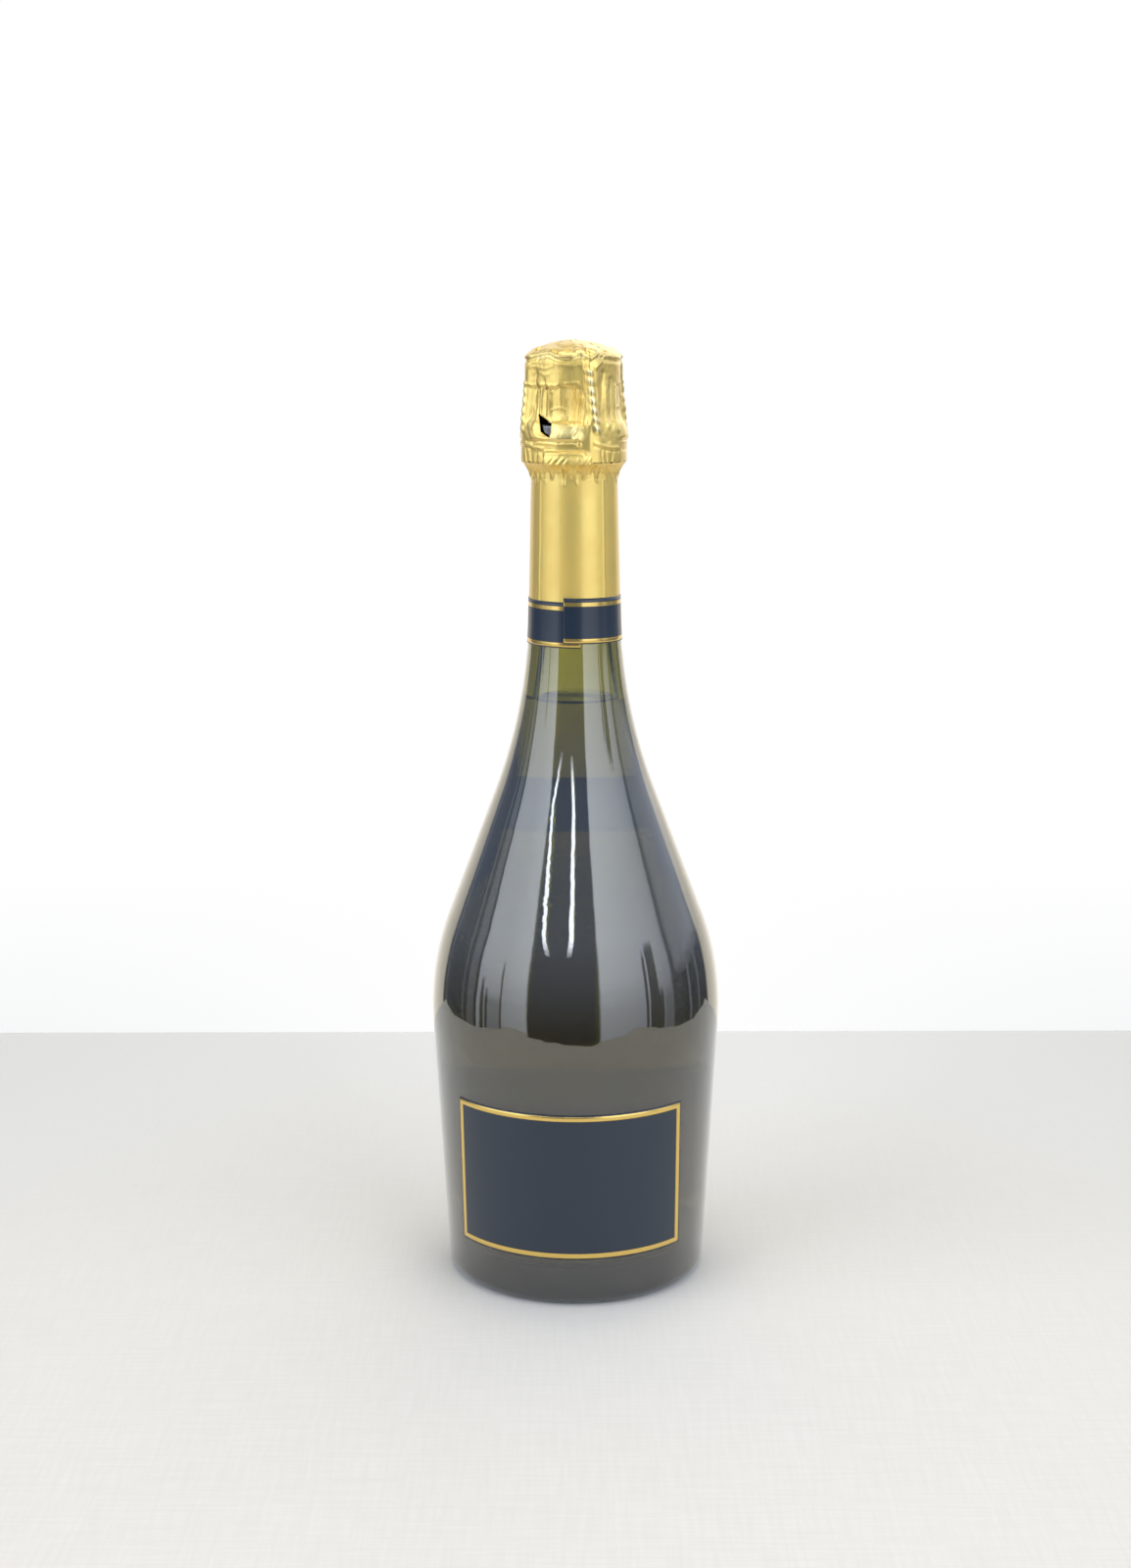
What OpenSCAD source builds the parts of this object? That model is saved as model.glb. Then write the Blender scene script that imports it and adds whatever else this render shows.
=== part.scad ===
// Champagne bottle, 75 cl: a heavy pale-olive glass with a long concave neck, filled and closed.
// The mushroom cork is held by a cage of twisted wire, and a gold foil hood is pressed over both.
// Z = 0 is the plane that the bottle stands on and the Z axis is the bottle's own axis.
// The back label faces -Y and the large front label faces +Y.
// An azimuth is counted from -Y towards +X, so 0 looks straight out of the back label.

/* [Glass body] */
// Height of the bare glass, from the standing ring to the lip
glass_h = 300; // [296:0.5:304]
// Radius at which the line of the side meets the floor
foot_r = 44.2; // [43.2:0.1:45.2]
// Radius at the widest place
body_r = 49.1; // [48:0.1:50]
// Height of the widest place
body_z = 91.7; // [87:0.1:95]
// Radius of the convex arc over the widest place
bowl_arc_r = 96; // [90:0.5:104]
// Slope of the shoulder, in degrees from upright
shoulder_slope = 20.8; // [20:0.1:21.6]
// Radius of the concave arc between shoulder and neck
neck_arc_r = 178; // [160:1:190]
// Radius of the neck just below the finish
neck_r = 14; // [13.6:0.05:14.3]
// Taper of the neck, in degrees from upright
neck_taper = 1.3; // [1:0.05:1.6]
// Rounding of the heel
heel_round = 5; // [3:0.25:6]
// Wall of the body
body_wall = 4.7; // [4.2:0.1:5]
// Wall of the neck
neck_wall = 4.4; // [4:0.1:4.7]

/* [Punt] */
// Depth of the hollow under the base
punt_depth = 31; // [24:0.5:36]
// Radius of the hollow at the floor
punt_r = 35; // [32:0.25:35.5]
// Radius of the rounded tip
punt_tip_r = 13; // [10:0.5:16]
// Rounding between the hollow and the standing ring
punt_round = 3; // [2:0.25:3.5]
// Thickness of the glass over the hollow
floor_t = 8; // [5.5:0.25:8.5]
// Rounding of the valley round the hollow, inside
valley_round = 4; // [3:0.25:5]

/* [Glass finish] */
// Radius of the mouth bore
bore_r = 8.75; // [8.5:0.05:9]
// Length of the parallel mouth bore
bore_l = 32; // [30:0.5:36]
// Length of the step from the bore to the wider neck
bore_step = 8; // [6:0.5:10]
// Rounding of the mouth's edge
mouth_round = 1.2; // [0.8:0.1:1.5]
// Radius of the crown bead at the lip
lip_r = 14.3; // [13.9:0.05:14.6]
// Height of the crown bead
lip_h = 6; // [5:0.25:7]
// Rounding of the crown bead
lip_round = 2; // [1.5:0.1:2.2]
// Radius of the groove under the crown bead
groove_r = 13.4; // [13:0.05:13.6]
// Height of the groove
groove_h = 3; // [2:0.25:4]
// Radius of the ring that the cage grips
ring_r = 16; // [15.6:0.05:16.3]
// Height of the ring
ring_h = 10; // [8:0.25:11]
// Rounding of the ring
ring_round = 1.2; // [0.8:0.1:1.5]
// Height of the flank under the ring
ring_flank_h = 2.2; // [1.6:0.1:2.6]

/* [Wine and cork] */
// Depth of the wine's surface under the lip
fill_depth = 101.4; // [95:0.5:150]
// Length of the cork inside the neck
stem_l = 25; // [20:0.5:27]
// Thickness of each natural cork disc
disc_t = 5.5; // [4:0.25:7]
// Radius of the cork's head
head_r = 14.8; // [14.5:0.05:15]
// Height of the cork's head over the lip
head_h = 13.9; // [13.5:0.1:14.5]
// Rounding of the head's top
head_round = 4.5; // [4:0.1:5]
// Rounding of the head's underside
head_under_round = 3; // [2:0.1:3.5]
// Bevel at the cork's foot
cork_bevel = 0.8; // [0.4:0.1:1.2]

/* [Wire cage] */
// Thickness of the leg wire
leg_wire = 0.75; // [0.65:0.05:0.8]
// Thickness of the belt wire
belt_wire = 0.8; // [0.7:0.05:0.9]
// Length of one turn of two twisted wires
twist_pitch = 6.2; // [5:0.1:8]
// Azimuth of the first leg, in degrees
leg_azimuth = 20; // [15:1:25]
// Radius of the ring that joins the legs on top
top_ring_r = 12.35; // [12.2:0.05:12.5]
// Rise of the domed plaque over its rim
plaque_rise = 3.1; // [2.6:0.1:3.2]
// Thickness of the plaque's tinplate
plaque_t = 0.35; // [0.25:0.05:0.4]
// Radius at which the plaque's dome starts
plaque_dome_r = 10.4; // [9:0.1:11]
// Azimuth at which the key turns back, in degrees
key_from = -32; // [-36:1:-28]
// Angle that the key's bend takes up
key_bend_angle = 6; // [5:0.5:8]
// Azimuth of the eye at the end of the key's loop, in degrees
key_to = 5; // [0:1:8]
// Azimuth at which the belt's ends start to twist into the key, in degrees
key_root_to = 15.5; // [14:0.5:16]
// Height of the key's loop
key_loop_h = 4; // [3:0.25:5]

/* [Foil] */
// Thickness of the foil
foil_t = 0.15; // [0.1:0.01:0.2]
// Depth of the pleats between the legs
pleat_d = 0.5; // [0.3:0.05:0.7]
// Depth of the torn edge between sleeve and hood, under the ring
tear_depth = 2.5; // [2:0.1:3]
// Depth under the ring at which the sleeve leaves the neck
flare_depth = 7.7; // [6:0.1:9]
// Length of the sleeve under the collar
sleeve_under = 6.7; // [3.5:0.1:10]
// Radius of the foil where it lies over the belt, between the legs
hood_rim_r = 17.3; // [17.25:0.05:17.5]
// Height of the foil hood's crown over the glass lip
hood_top_h = 18; // [17.9:0.1:18.5]

/* [Paper] */
// Thickness of the labels
paper_t = 0.15; // [0.1:0.01:0.2]
// Depth of the collar's upper edge under the lip, at its outer end
collar_depth = 65.3; // [63:0.1:69]
// Width of the collar
collar_w = 15; // [12:0.5:18]
// Drop of the collar over its whole length
collar_drop = 1.5; // [0:0.1:2]
// Azimuth of the collar's outer end, in degrees
collar_from = -13.5; // [-30:0.5:0]
// Angle by which the collar's ends overlap
collar_lap = 20.5; // [10:0.5:30]
// Height of the back label's lower edge
back_label_z = 17.3; // [14:0.5:20]
// Width of the back label, up the bottle
back_label_h = 51.2; // [40:0.5:60]
// Azimuth of the back label's middle, in degrees
back_label_mid = -3.8; // [-10:0.1:10]
// Angle that the back label covers
back_label_angle = 107.5; // [80:0.5:120]
// Height of the front label's lower edge
front_label_z = 14.5; // [13:0.5:18]
// Width of the front label, up the bottle
front_label_h = 49; // [40:0.5:60]
// Angle that the front label covers
front_label_angle = 150; // [120:1:160]
// Height of the shoulder label's lower edge
shoulder_label_z = 143; // [138:0.5:146]
// Width of the shoulder label, up the bottle
shoulder_label_h = 22; // [16:0.5:23]
// Angle that the shoulder label covers
shoulder_label_angle = 130; // [100:1:160]

/* [Fits] */
// Clearance of the cork in the bore
cork_clear = 0.05; // [0.01:0.01:0.1]
// Clearance between pieces that part when the bottle is opened
open_clear = 0.15; // [0.1:0.01:0.2]
// Clearance between the foil hood and what it covers
hood_clear = 0.25; // [0.2:0.01:0.3]
// Clearance between wires that touch
wire_clear = 0.04; // [0.02:0.01:0.06]
// Clearance between the glass, the foil and the paper that lie on each other
lay_clear = 0.04; // [0.02:0.01:0.05]

/* [Hidden] */
$fn = 128;

// What the eye sees of each material
glass_colour = [0.42, 0.43, 0.14, 0.75];
wine_colour = [0.78, 0.62, 0.22];
cork_colour = "#c89f6a";
disc_colour = "#d9b988";
wire_colour = "#c4c6c8";
plaque_colour = "#d8bd62";
foil_colour = "#dcc069";
paper_colour = "#14202f";

// Steps along the arcs of an outline
arc_steps = 16;
corner_steps = 6;

// Points of an arc about c, from one angle to another
function arc(c, r, from, to, steps) =
    [for (i = [0:steps]) c + r * [cos(from + (to - from) * i / steps), sin(from + (to - from) * i / steps)]];

// Direction of a vector, and the vector at length one
function angle_of(v) = atan2(v.y, v.x);
function unit(v) = v / norm(v);

// Where two lines meet, each given by a point and a direction
function meet(p, u, q, v) = p + u * cross(q - p, v) / cross(u, v);

// The corner at b between a and c, rounded with radius r
function turn_to(from, to) = to - from > 180 ? to - 360 : (to - from < -180 ? to + 360 : to);
function corner(a, b, c, r) =
    let (u = unit(a - b), v = unit(c - b), half = acos(u * v) / 2,
        centre = b + unit(u + v) * r / sin(half),
        from = angle_of(b + u * r / tan(half) - centre),
        to = turn_to(from, angle_of(b + v * r / tan(half) - centre)))
    arc(centre, r, from, to, corner_steps);

// Angle of the tangent point on a circle, seen from a point outside it
function tangent_angle(c, r, p) = angle_of(p - c) + acos(r / norm(p - c));

// Share of the way from one value to another, held between 0 and 1 and eased at both ends
function share_of(value, from, to) = min(1, max(0, (value - from) / (to - from)));
function ease(share) = share * share * (3 - 2 * share);

// Heights of the finish, from the lip down
lip_z = glass_h - lip_h;
ring_top_z = lip_z - groove_h;
ring_z = ring_top_z - ring_h;
neck_top_z = ring_z - ring_flank_h;

// Heights of what goes with the finish: wine, foil and collar
fill_z = glass_h - fill_depth;
tear_z = ring_z - tear_depth;
flare_z = ring_z - flare_depth;
collar_z = glass_h - collar_depth - collar_w;
sleeve_z = collar_z + collar_w - sleeve_under;

// Outer side of the glass: a straight foot, the bowl, the straight shoulder, the concave neck
bowl_c = [body_r - bowl_arc_r, body_z];
foot_p = [foot_r, 0];
side_angle = tangent_angle(bowl_c, bowl_arc_r, foot_p);
side_dir = [-sin(side_angle), cos(side_angle)];
shoulder_dir = [-sin(shoulder_slope), cos(shoulder_slope)];
shoulder_p = bowl_c + bowl_arc_r * [cos(shoulder_slope), sin(shoulder_slope)];
neck_dir = [-sin(neck_taper), cos(neck_taper)];
neck_p = [neck_r, neck_top_z];
shoulder_meet = meet(shoulder_p, shoulder_dir, neck_p, neck_dir);
neck_arc_run = neck_arc_r * tan((shoulder_slope - neck_taper) / 2);
neck_arc_p = shoulder_meet - neck_arc_run * shoulder_dir;
neck_arc_end = shoulder_meet + neck_arc_run * neck_dir;
neck_arc_c = neck_arc_p + neck_arc_r * [cos(shoulder_slope), sin(shoulder_slope)];
side_outline = concat(
    arc(bowl_c, bowl_arc_r, side_angle, shoulder_slope, arc_steps),
    arc(neck_arc_c, neck_arc_r, 180 + shoulder_slope, 180 + neck_taper, arc_steps),
    [neck_p]);

// Radius of the outer side at a height
foot_z_end = side_outline[0].y;
function side_r(z) = z < foot_z_end ? foot_r + (side_outline[0].x - foot_r) * z / foot_z_end :
    lookup(z, [for (p = side_outline) [p.y, p.x]]);

// The wall grows from the body's to the neck's over the shoulder and the concave arc
function wall_at(z) = body_wall + (neck_wall - body_wall) * ease(share_of(z, shoulder_p.y, neck_arc_end.y));

// Hollow under the base, outside and inside
punt_c = [0, punt_depth - punt_tip_r];
punt_p = [punt_r, 0];
punt_angle = tangent_angle(punt_c, punt_tip_r, punt_p);
punt_normal = [cos(punt_angle), sin(punt_angle)];
punt_dir = [-sin(punt_angle), cos(punt_angle)];
punt_tip_p = punt_c + punt_tip_r * punt_normal;
floor_tip_r = punt_tip_r + floor_t;
floor_tip_p = punt_c + floor_tip_r * punt_normal;
inner_foot_p = foot_p - [body_wall, 0];
valley_p = meet(inner_foot_p, side_dir, floor_tip_p, punt_dir);
inner_side_p = side_outline[0] - [body_wall, 0];

// Inside of the glass, from the tip of the hollow out and up to the bore
bore_z = glass_h - bore_l;
neck_inside_z = bore_z - bore_step;
cavity_outline = concat(
    [[0, punt_c.y + floor_tip_r]],
    arc(punt_c, floor_tip_r, 90, punt_angle, corner_steps),
    corner(floor_tip_p, valley_p, inner_side_p, valley_round),
    [for (p = side_outline) if (p.y < neck_inside_z) p - [wall_at(p.y), 0]],
    [[side_r(neck_inside_z) - neck_wall, neck_inside_z], [bore_r, bore_z]]);

// Outside of the glass, from the standing ring up over the lip to the bore
heel_p = side_outline[0];
ring_lip_z = glass_h - mouth_round;
glass_outline = concat(
    [[0, punt_depth]],
    arc(punt_c, punt_tip_r, 90, punt_angle, corner_steps),
    corner(punt_tip_p, punt_p, foot_p, punt_round),
    corner(punt_p, foot_p, heel_p, heel_round),
    side_outline,
    [[ring_r - ring_round, ring_z]],
    arc([ring_r - ring_round, ring_z + ring_round], ring_round, -90, 0, corner_steps),
    arc([ring_r - ring_round, ring_top_z - ring_round], ring_round, 0, 90, corner_steps),
    [[groove_r, ring_top_z], [groove_r, lip_z]],
    arc([lip_r - lip_round, lip_z + lip_round], lip_round, -90, 0, corner_steps),
    arc([lip_r - lip_round, glass_h - lip_round], lip_round, 0, 90, corner_steps),
    arc([bore_r + mouth_round, ring_lip_z], mouth_round, 90, 180, corner_steps));

// Cork: a head over the lip, a stem of agglomerate and two discs of natural cork
stem_r = bore_r - cork_clear;
seat_z = glass_h + open_clear;
cork_top_z = seat_z + head_h;
stem_z = glass_h - stem_l;
disc_top_z = stem_z + 2 * disc_t;
head_round_c = [head_r - head_round, cork_top_z - head_round];

// Wires of the cage, as places in the plane of radius and height
belt_r = ring_r + open_clear + belt_wire / 2;
belt_z = ring_z - belt_wire / 2;
leg_half = leg_wire + wire_clear / 2;
leg_ring_r = ring_r + open_clear + leg_half;
leg_head_r = head_r + open_clear + leg_half;
leg_arc_r = head_round + open_clear + leg_half;
hook_r = (belt_wire + leg_wire) / 2 + 2 * wire_clear;
hook_angle = 110;
leg_end_gap = leg_wire + wire_clear;
leg_end_angle = acos((top_ring_r + leg_end_gap - head_round_c.x) / leg_arc_r);
top_ring_z = head_round_c.y + leg_arc_r * sin(leg_end_angle);

// Run of one leg, from the hook under the belt up the ring and over the cork's head
bend_steps = 6;
function sway(a, b) =
    [for (i = [1:bend_steps]) [a.x + (b.x - a.x) * ease(i / bend_steps), a.y + (b.y - a.y) * i / bend_steps]];
leg_hook = arc([belt_r, belt_z], hook_r, -hook_angle, 0, bend_steps);
leg_low_p = [leg_ring_r, ring_z + 2 * ring_round];
leg_top_p = [leg_ring_r, ring_top_z - ring_round];
leg_head_p = [leg_head_r, seat_z + head_under_round];
leg_outline = concat(leg_hook, sway([belt_r + hook_r, belt_z], leg_low_p), sway(leg_top_p, leg_head_p),
    arc(head_round_c, leg_arc_r, 0, leg_end_angle, bend_steps));

// Distance run along an outline at each of its points
function runs(line) =
    [for (i = 0, run = 0; i < len(line);
        run = run + (i + 1 < len(line) ? norm(line[i + 1] - line[i]) : 0), i = i + 1) run];
leg_runs = runs(leg_outline);
leg_r_table = [for (i = [0:len(leg_runs) - 1]) [leg_runs[i], leg_outline[i].x]];
leg_z_table = [for (i = [0:len(leg_runs) - 1]) [leg_runs[i], leg_outline[i].y]];
leg_by_height = [for (p = leg_outline) if (p.y >= belt_z) [p.y, p.x]];
leg_run = leg_runs[len(leg_runs) - 1];
leg_hook_run = leg_runs[bend_steps];

// Two wires wind round each other in whole half turns, with this many rings to a turn
wire_sides = 6;
wire_facets = 24;
rings_per_turn = 8;
wire_off = (leg_wire + wire_clear) / 2;
function half_turns(run) = round(2 * run / twist_pitch);
leg_turns = half_turns(leg_run - leg_hook_run) / 2;
leg_twist_rings = round(leg_turns * rings_per_turn);
leg_stops = concat(
    [for (i = [0:bend_steps - 1]) leg_hook_run * i / bend_steps],
    [for (i = [0:leg_twist_rings]) leg_hook_run + (leg_run - leg_hook_run) * i / leg_twist_rings]);

// A place on the part, from a radius, a height and an azimuth
function around(p, azimuth) = [p.x * sin(azimuth), -p.x * cos(azimuth), p.y];
function sideways(azimuth) = [cos(azimuth), sin(azimuth), 0];

// Centre of one wire of a leg, where phase turns with the twist
function leg_place(run) = [lookup(run, leg_r_table), lookup(run, leg_z_table)];
function leg_normal(run) =
    let (step = wire_off / 2, d = unit(leg_place(min(leg_run, run + step)) - leg_place(max(0, run - step))))
    [d.y, -d.x];
function leg_phase(run) = 360 * leg_turns * max(0, run - leg_hook_run) / (leg_run - leg_hook_run);
function leg_wire_place(run, azimuth, start) =
    let (phase = start + leg_phase(run))
    around(leg_place(run) + wire_off * sin(phase) * leg_normal(run), azimuth)
        + wire_off * cos(phase) * sideways(azimuth);

// Root of the key: the belt's two ends, twisted together along the ring
key_root_from = key_from + key_bend_angle;
key_root_run = leg_ring_r * (key_root_to - key_root_from) * PI / 180;
key_turns = half_turns(key_root_run) / 2;
key_rings = round(key_turns * rings_per_turn);
function key_root_place(share, start) =
    let (phase = start + 360 * key_turns * share)
    around([leg_ring_r + wire_off * cos(phase), belt_z + wire_off * sin(phase)],
        key_root_from + (key_root_to - key_root_from) * share);

// Loop of the key: the two wires part, turn up and run back along the ring as one long eye
key_low_z = belt_z + leg_half + leg_wire;
key_high_z = key_low_z + key_loop_h;
key_loop_r = ring_r + open_clear + leg_wire;
key_route = [
    [key_root_from, belt_z + wire_off], [key_from + key_bend_angle / 3, belt_z + wire_off],
    [key_from + key_bend_angle / 3, key_low_z], [key_to, key_low_z],
    [key_to, key_high_z], [key_from - key_bend_angle / 3, key_high_z],
    [key_from - key_bend_angle / 3, belt_z - wire_off], [key_root_from, belt_z - wire_off]];
function bend(a, b, c, share) =
    (1 - share) * (1 - share) * a + 2 * share * (1 - share) * b + share * share * c;
function eased_route(route, steps) = concat([route[0]],
    [for (i = [1:len(route) - 2], k = [0:steps - 1])
        bend(i == 1 ? route[0] : (route[i - 1] + route[i]) / 2, route[i],
            i == len(route) - 2 ? route[i + 1] : (route[i] + route[i + 1]) / 2, (k + 1) / steps)]);
function key_r(z) = leg_ring_r + (key_loop_r - leg_ring_r) * ease(share_of(z, belt_z + wire_off, key_low_z));

// A tube along a path, its rings square to the path and turned by the vectors in ups
function path_dir(path, i) = unit(path[min(len(path) - 1, i + 1)] - path[max(0, i - 1)]);
function ring_points(path, ups, r, i) =
    let (dir = path_dir(path, i), u = unit(cross(dir, ups[i])), v = cross(dir, u))
    [for (k = [0:wire_sides - 1]) let (a = 360 * k / wire_sides) path[i] + r * (cos(a) * u + sin(a) * v)];
function next(k, count) = (k + 1) % count;
module tube(path, ups, r) {
    rings = len(path);
    last = (rings - 1) * wire_sides;
    points = [for (i = [0:rings - 1]) each ring_points(path, ups, r, i)];
    wall = [for (i = [0:rings - 2], k = [0:wire_sides - 1])
        let (a = i * wire_sides + k, b = i * wire_sides + next(k, wire_sides)) each
        [[a, a + wire_sides, b], [b, a + wire_sides, b + wire_sides]]];
    ends = [for (k = [1:wire_sides - 2]) each [[0, k, k + 1], [last, last + k + 1, last + k]]];
    polyhedron(points, concat(wall, ends));
}

// Foil hood: an outline that lies on what is under it, and one that rides over a leg
hood_z = tear_z + open_clear;
hood_top_z = glass_h + hood_top_h - foil_t;
hood_in_r = hood_rim_r - foil_t;
hood_head_r = head_r + hood_clear;
hood_round = head_round + hood_clear;
hood_edge_z = top_ring_z + leg_wire / 2 + hood_clear;
hood_dome_r = (top_ring_r * top_ring_r + pow(hood_top_z - hood_edge_z, 2)) / (2 * (hood_top_z - hood_edge_z));
dome_shares = [0.78, 0.53, 0.27];
round_angle_end = 58;
round_steps = 4;
round_angles = [for (i = [1:round_steps]) round_angle_end * i / round_steps];
belt_top_z = belt_z + leg_half + hood_clear;
hood_walls = [[hood_in_r, hood_z], [hood_in_r, belt_top_z], [hood_in_r, ring_top_z - 3 * ring_round],
    [ring_r + leg_wire, ring_top_z], [(ring_r + hood_head_r) / 2, (ring_top_z + lip_z) / 2],
    [hood_head_r + foil_t, seat_z], [hood_head_r, seat_z + head_under_round], [hood_head_r, head_round_c.y]];
leg_cover = leg_half + hood_clear;
function dome_z(r) = hood_top_z - hood_dome_r + sqrt(hood_dome_r * hood_dome_r - r * r);
hood_dome = [for (share = dome_shares) [top_ring_r * share, dome_z(top_ring_r * share)]];
hood_low = concat(hood_walls,
    [for (a = round_angles) head_round_c + (hood_round + leg_wire * a / round_angle_end) * [cos(a), sin(a)]],
    [[top_ring_r, hood_edge_z]], hood_dome);
hook_out_r = belt_r + hook_r + leg_wire / 2 + hood_clear;
hood_high = concat(
    [[hook_out_r, hood_z], [hook_out_r, belt_top_z]],
    [for (i = [2:len(hood_walls) - 1]) [lookup(hood_walls[i].y, leg_by_height) + leg_cover, hood_walls[i].y]],
    [for (a = round_angles) head_round_c + (leg_arc_r + leg_cover) * [cos(a), sin(a)]],
    [[top_ring_r, (hood_edge_z + dome_z(top_ring_r * dome_shares[0])) / 2]], hood_dome);

// Columns of the hood between one leg and the next, how far each rides up on the leg, and its pleats
column_shares = [0, 0.034, 0.062, 0.1, 0.17, 0.24, 0.31, 0.38, 0.45,
    0.52, 0.59, 0.66, 0.73, 0.83, 0.9, 0.938, 0.966];
ride_shares = [1, 0.97, 0.6, 0.2, 0.04, 0, 0, 0, 0, 0, 0, 0, 0, 0.04, 0.2, 0.6, 0.97];
pleat_shares = [0, 0, 0, 0, 0.6, 0, 1, 0, 0.8, 0, 1, 0, 0.6, 0, 0, 0, 0];
pleat_row_shares = [0.3, 0, 0, 0.5, 1, 1, 0.4, 0, 0, 0, 0, 0, 0, 0, 0, 0];
leg_count = 4;
columns = [for (leg = [0:leg_count - 1], i = [0:len(column_shares) - 1]) [leg, i]];

// An outline goes up the part, so its right-hand side is the outside
function out_normal(line, i) =
    let (d = unit(line[min(len(line) - 1, i + 1)] - line[max(0, i - 1)])) [d.y, -d.x];
function swell(line, t) = [for (i = [0:len(line) - 1]) line[i] + t * out_normal(line, i)];
function backwards(line) = [for (i = [len(line) - 1:-1:0]) line[i]];
function skin(line, t) = concat(line, backwards(swell(line, t)));

// A stretch of the glass's outer side between two heights
function side_between(from, to) =
    concat([[side_r(from), from]], [for (p = side_outline) if (p.y > from && p.y < to) p],
        [[side_r(to), to]]);

module glass_bottle() {
    color(glass_colour) rotate_extrude() polygon(concat(glass_outline, backwards(cavity_outline)));
}

// The wine fills the glass up to its surface
inner_side = [for (p = side_outline) [p.y, p.x - wall_at(p.y)]];
module wine() {
    color(wine_colour) rotate_extrude() polygon(concat(
        [for (p = cavity_outline) if (p.y < fill_z) p],
        [[lookup(fill_z, inner_side), fill_z], [0, fill_z]]));
}

// Agglomerated cork: the part in the neck over the discs, and the head over the lip
module cork_body() {
    color(cork_colour) rotate_extrude() polygon(concat(
        [[0, disc_top_z], [stem_r, disc_top_z], [stem_r, seat_z]],
        corner([stem_r, seat_z], [head_r, seat_z], head_round_c + [head_round, 0], head_under_round),
        arc(head_round_c, head_round, 0, 90, corner_steps),
        [[0, cork_top_z]]));
}

module cork_disc_upper() {
    color(disc_colour) translate([0, 0, stem_z + disc_t]) cylinder(h = disc_t, r = stem_r);
}

module cork_disc_lower() {
    color(disc_colour) rotate_extrude() polygon([
        [0, stem_z], [stem_r - cork_bevel, stem_z], [stem_r, stem_z + cork_bevel],
        [stem_r, stem_z + disc_t], [0, stem_z + disc_t]]);
}

// Plaque: a thin dome with a flat rim that the top ring of wire goes round
plaque_z = cork_top_z + open_clear;
plaque_r = top_ring_r - leg_wire / 2 - wire_clear;
plaque_arc_r = (plaque_dome_r * plaque_dome_r + plaque_rise * plaque_rise) / (2 * plaque_rise);
plaque_c = [0, plaque_z + plaque_rise - plaque_arc_r];
plaque_low_angle = asin((plaque_arc_r - plaque_rise) / plaque_arc_r);
plaque_high_angle = asin((plaque_arc_r - plaque_rise + plaque_t) / (plaque_arc_r + plaque_t));
module plaque() {
    color(plaque_colour) rotate_extrude() polygon(concat(
        [[plaque_r, plaque_z]],
        arc(plaque_c, plaque_arc_r, plaque_low_angle, 90, arc_steps),
        arc(plaque_c, plaque_arc_r + plaque_t, 90, plaque_high_angle, arc_steps),
        [[plaque_r, plaque_z + plaque_t]]));
}

module cage_top_ring() {
    color(wire_colour) rotate_extrude() translate([top_ring_r, top_ring_z])
        circle(d = leg_wire, $fn = wire_facets);
}

// One leg: two wires that hook under the belt and wind round each other up to the top ring
module cage_leg(index) {
    azimuth = leg_azimuth + 360 * index / leg_count;
    color(wire_colour) for (start = [0, 180])
        tube([for (run = leg_stops) leg_wire_place(run, azimuth, start)],
            [for (run = leg_stops) sideways(azimuth)], leg_wire / 2);
}
module cage_leg_1() { cage_leg(0); }
module cage_leg_2() { cage_leg(1); }
module cage_leg_3() { cage_leg(2); }
module cage_leg_4() { cage_leg(3); }

// Belt: one wire through the legs' hooks, from one side of the key's root round to the other
belt_gap_angle = asin(leg_wire / belt_r);
belt_from = key_root_to + belt_gap_angle / 2;
belt_to = 360 + key_from - key_bend_angle / 3 - belt_gap_angle;
module cage_belt() {
    color(wire_colour)
        rotate_extrude(angle = belt_to - belt_from, start = belt_from - 90)
        translate([belt_r, belt_z]) circle(d = belt_wire, $fn = wire_facets);
}

module belt_key() {
    root_shares = [for (i = [0:key_rings]) i / key_rings];
    loop_route = eased_route(key_route, bend_steps);
    color(wire_colour) {
        for (start = [90, 270])
            tube([for (share = root_shares) key_root_place(share, start)],
                [for (share = root_shares) [0, 0, 1]], leg_wire / 2);
        tube([for (p = loop_route) around([key_r(p.y), p.y], p.x)],
            [for (p = loop_route) around([1, 0], p.x)], leg_wire / 2);
    }
}

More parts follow.
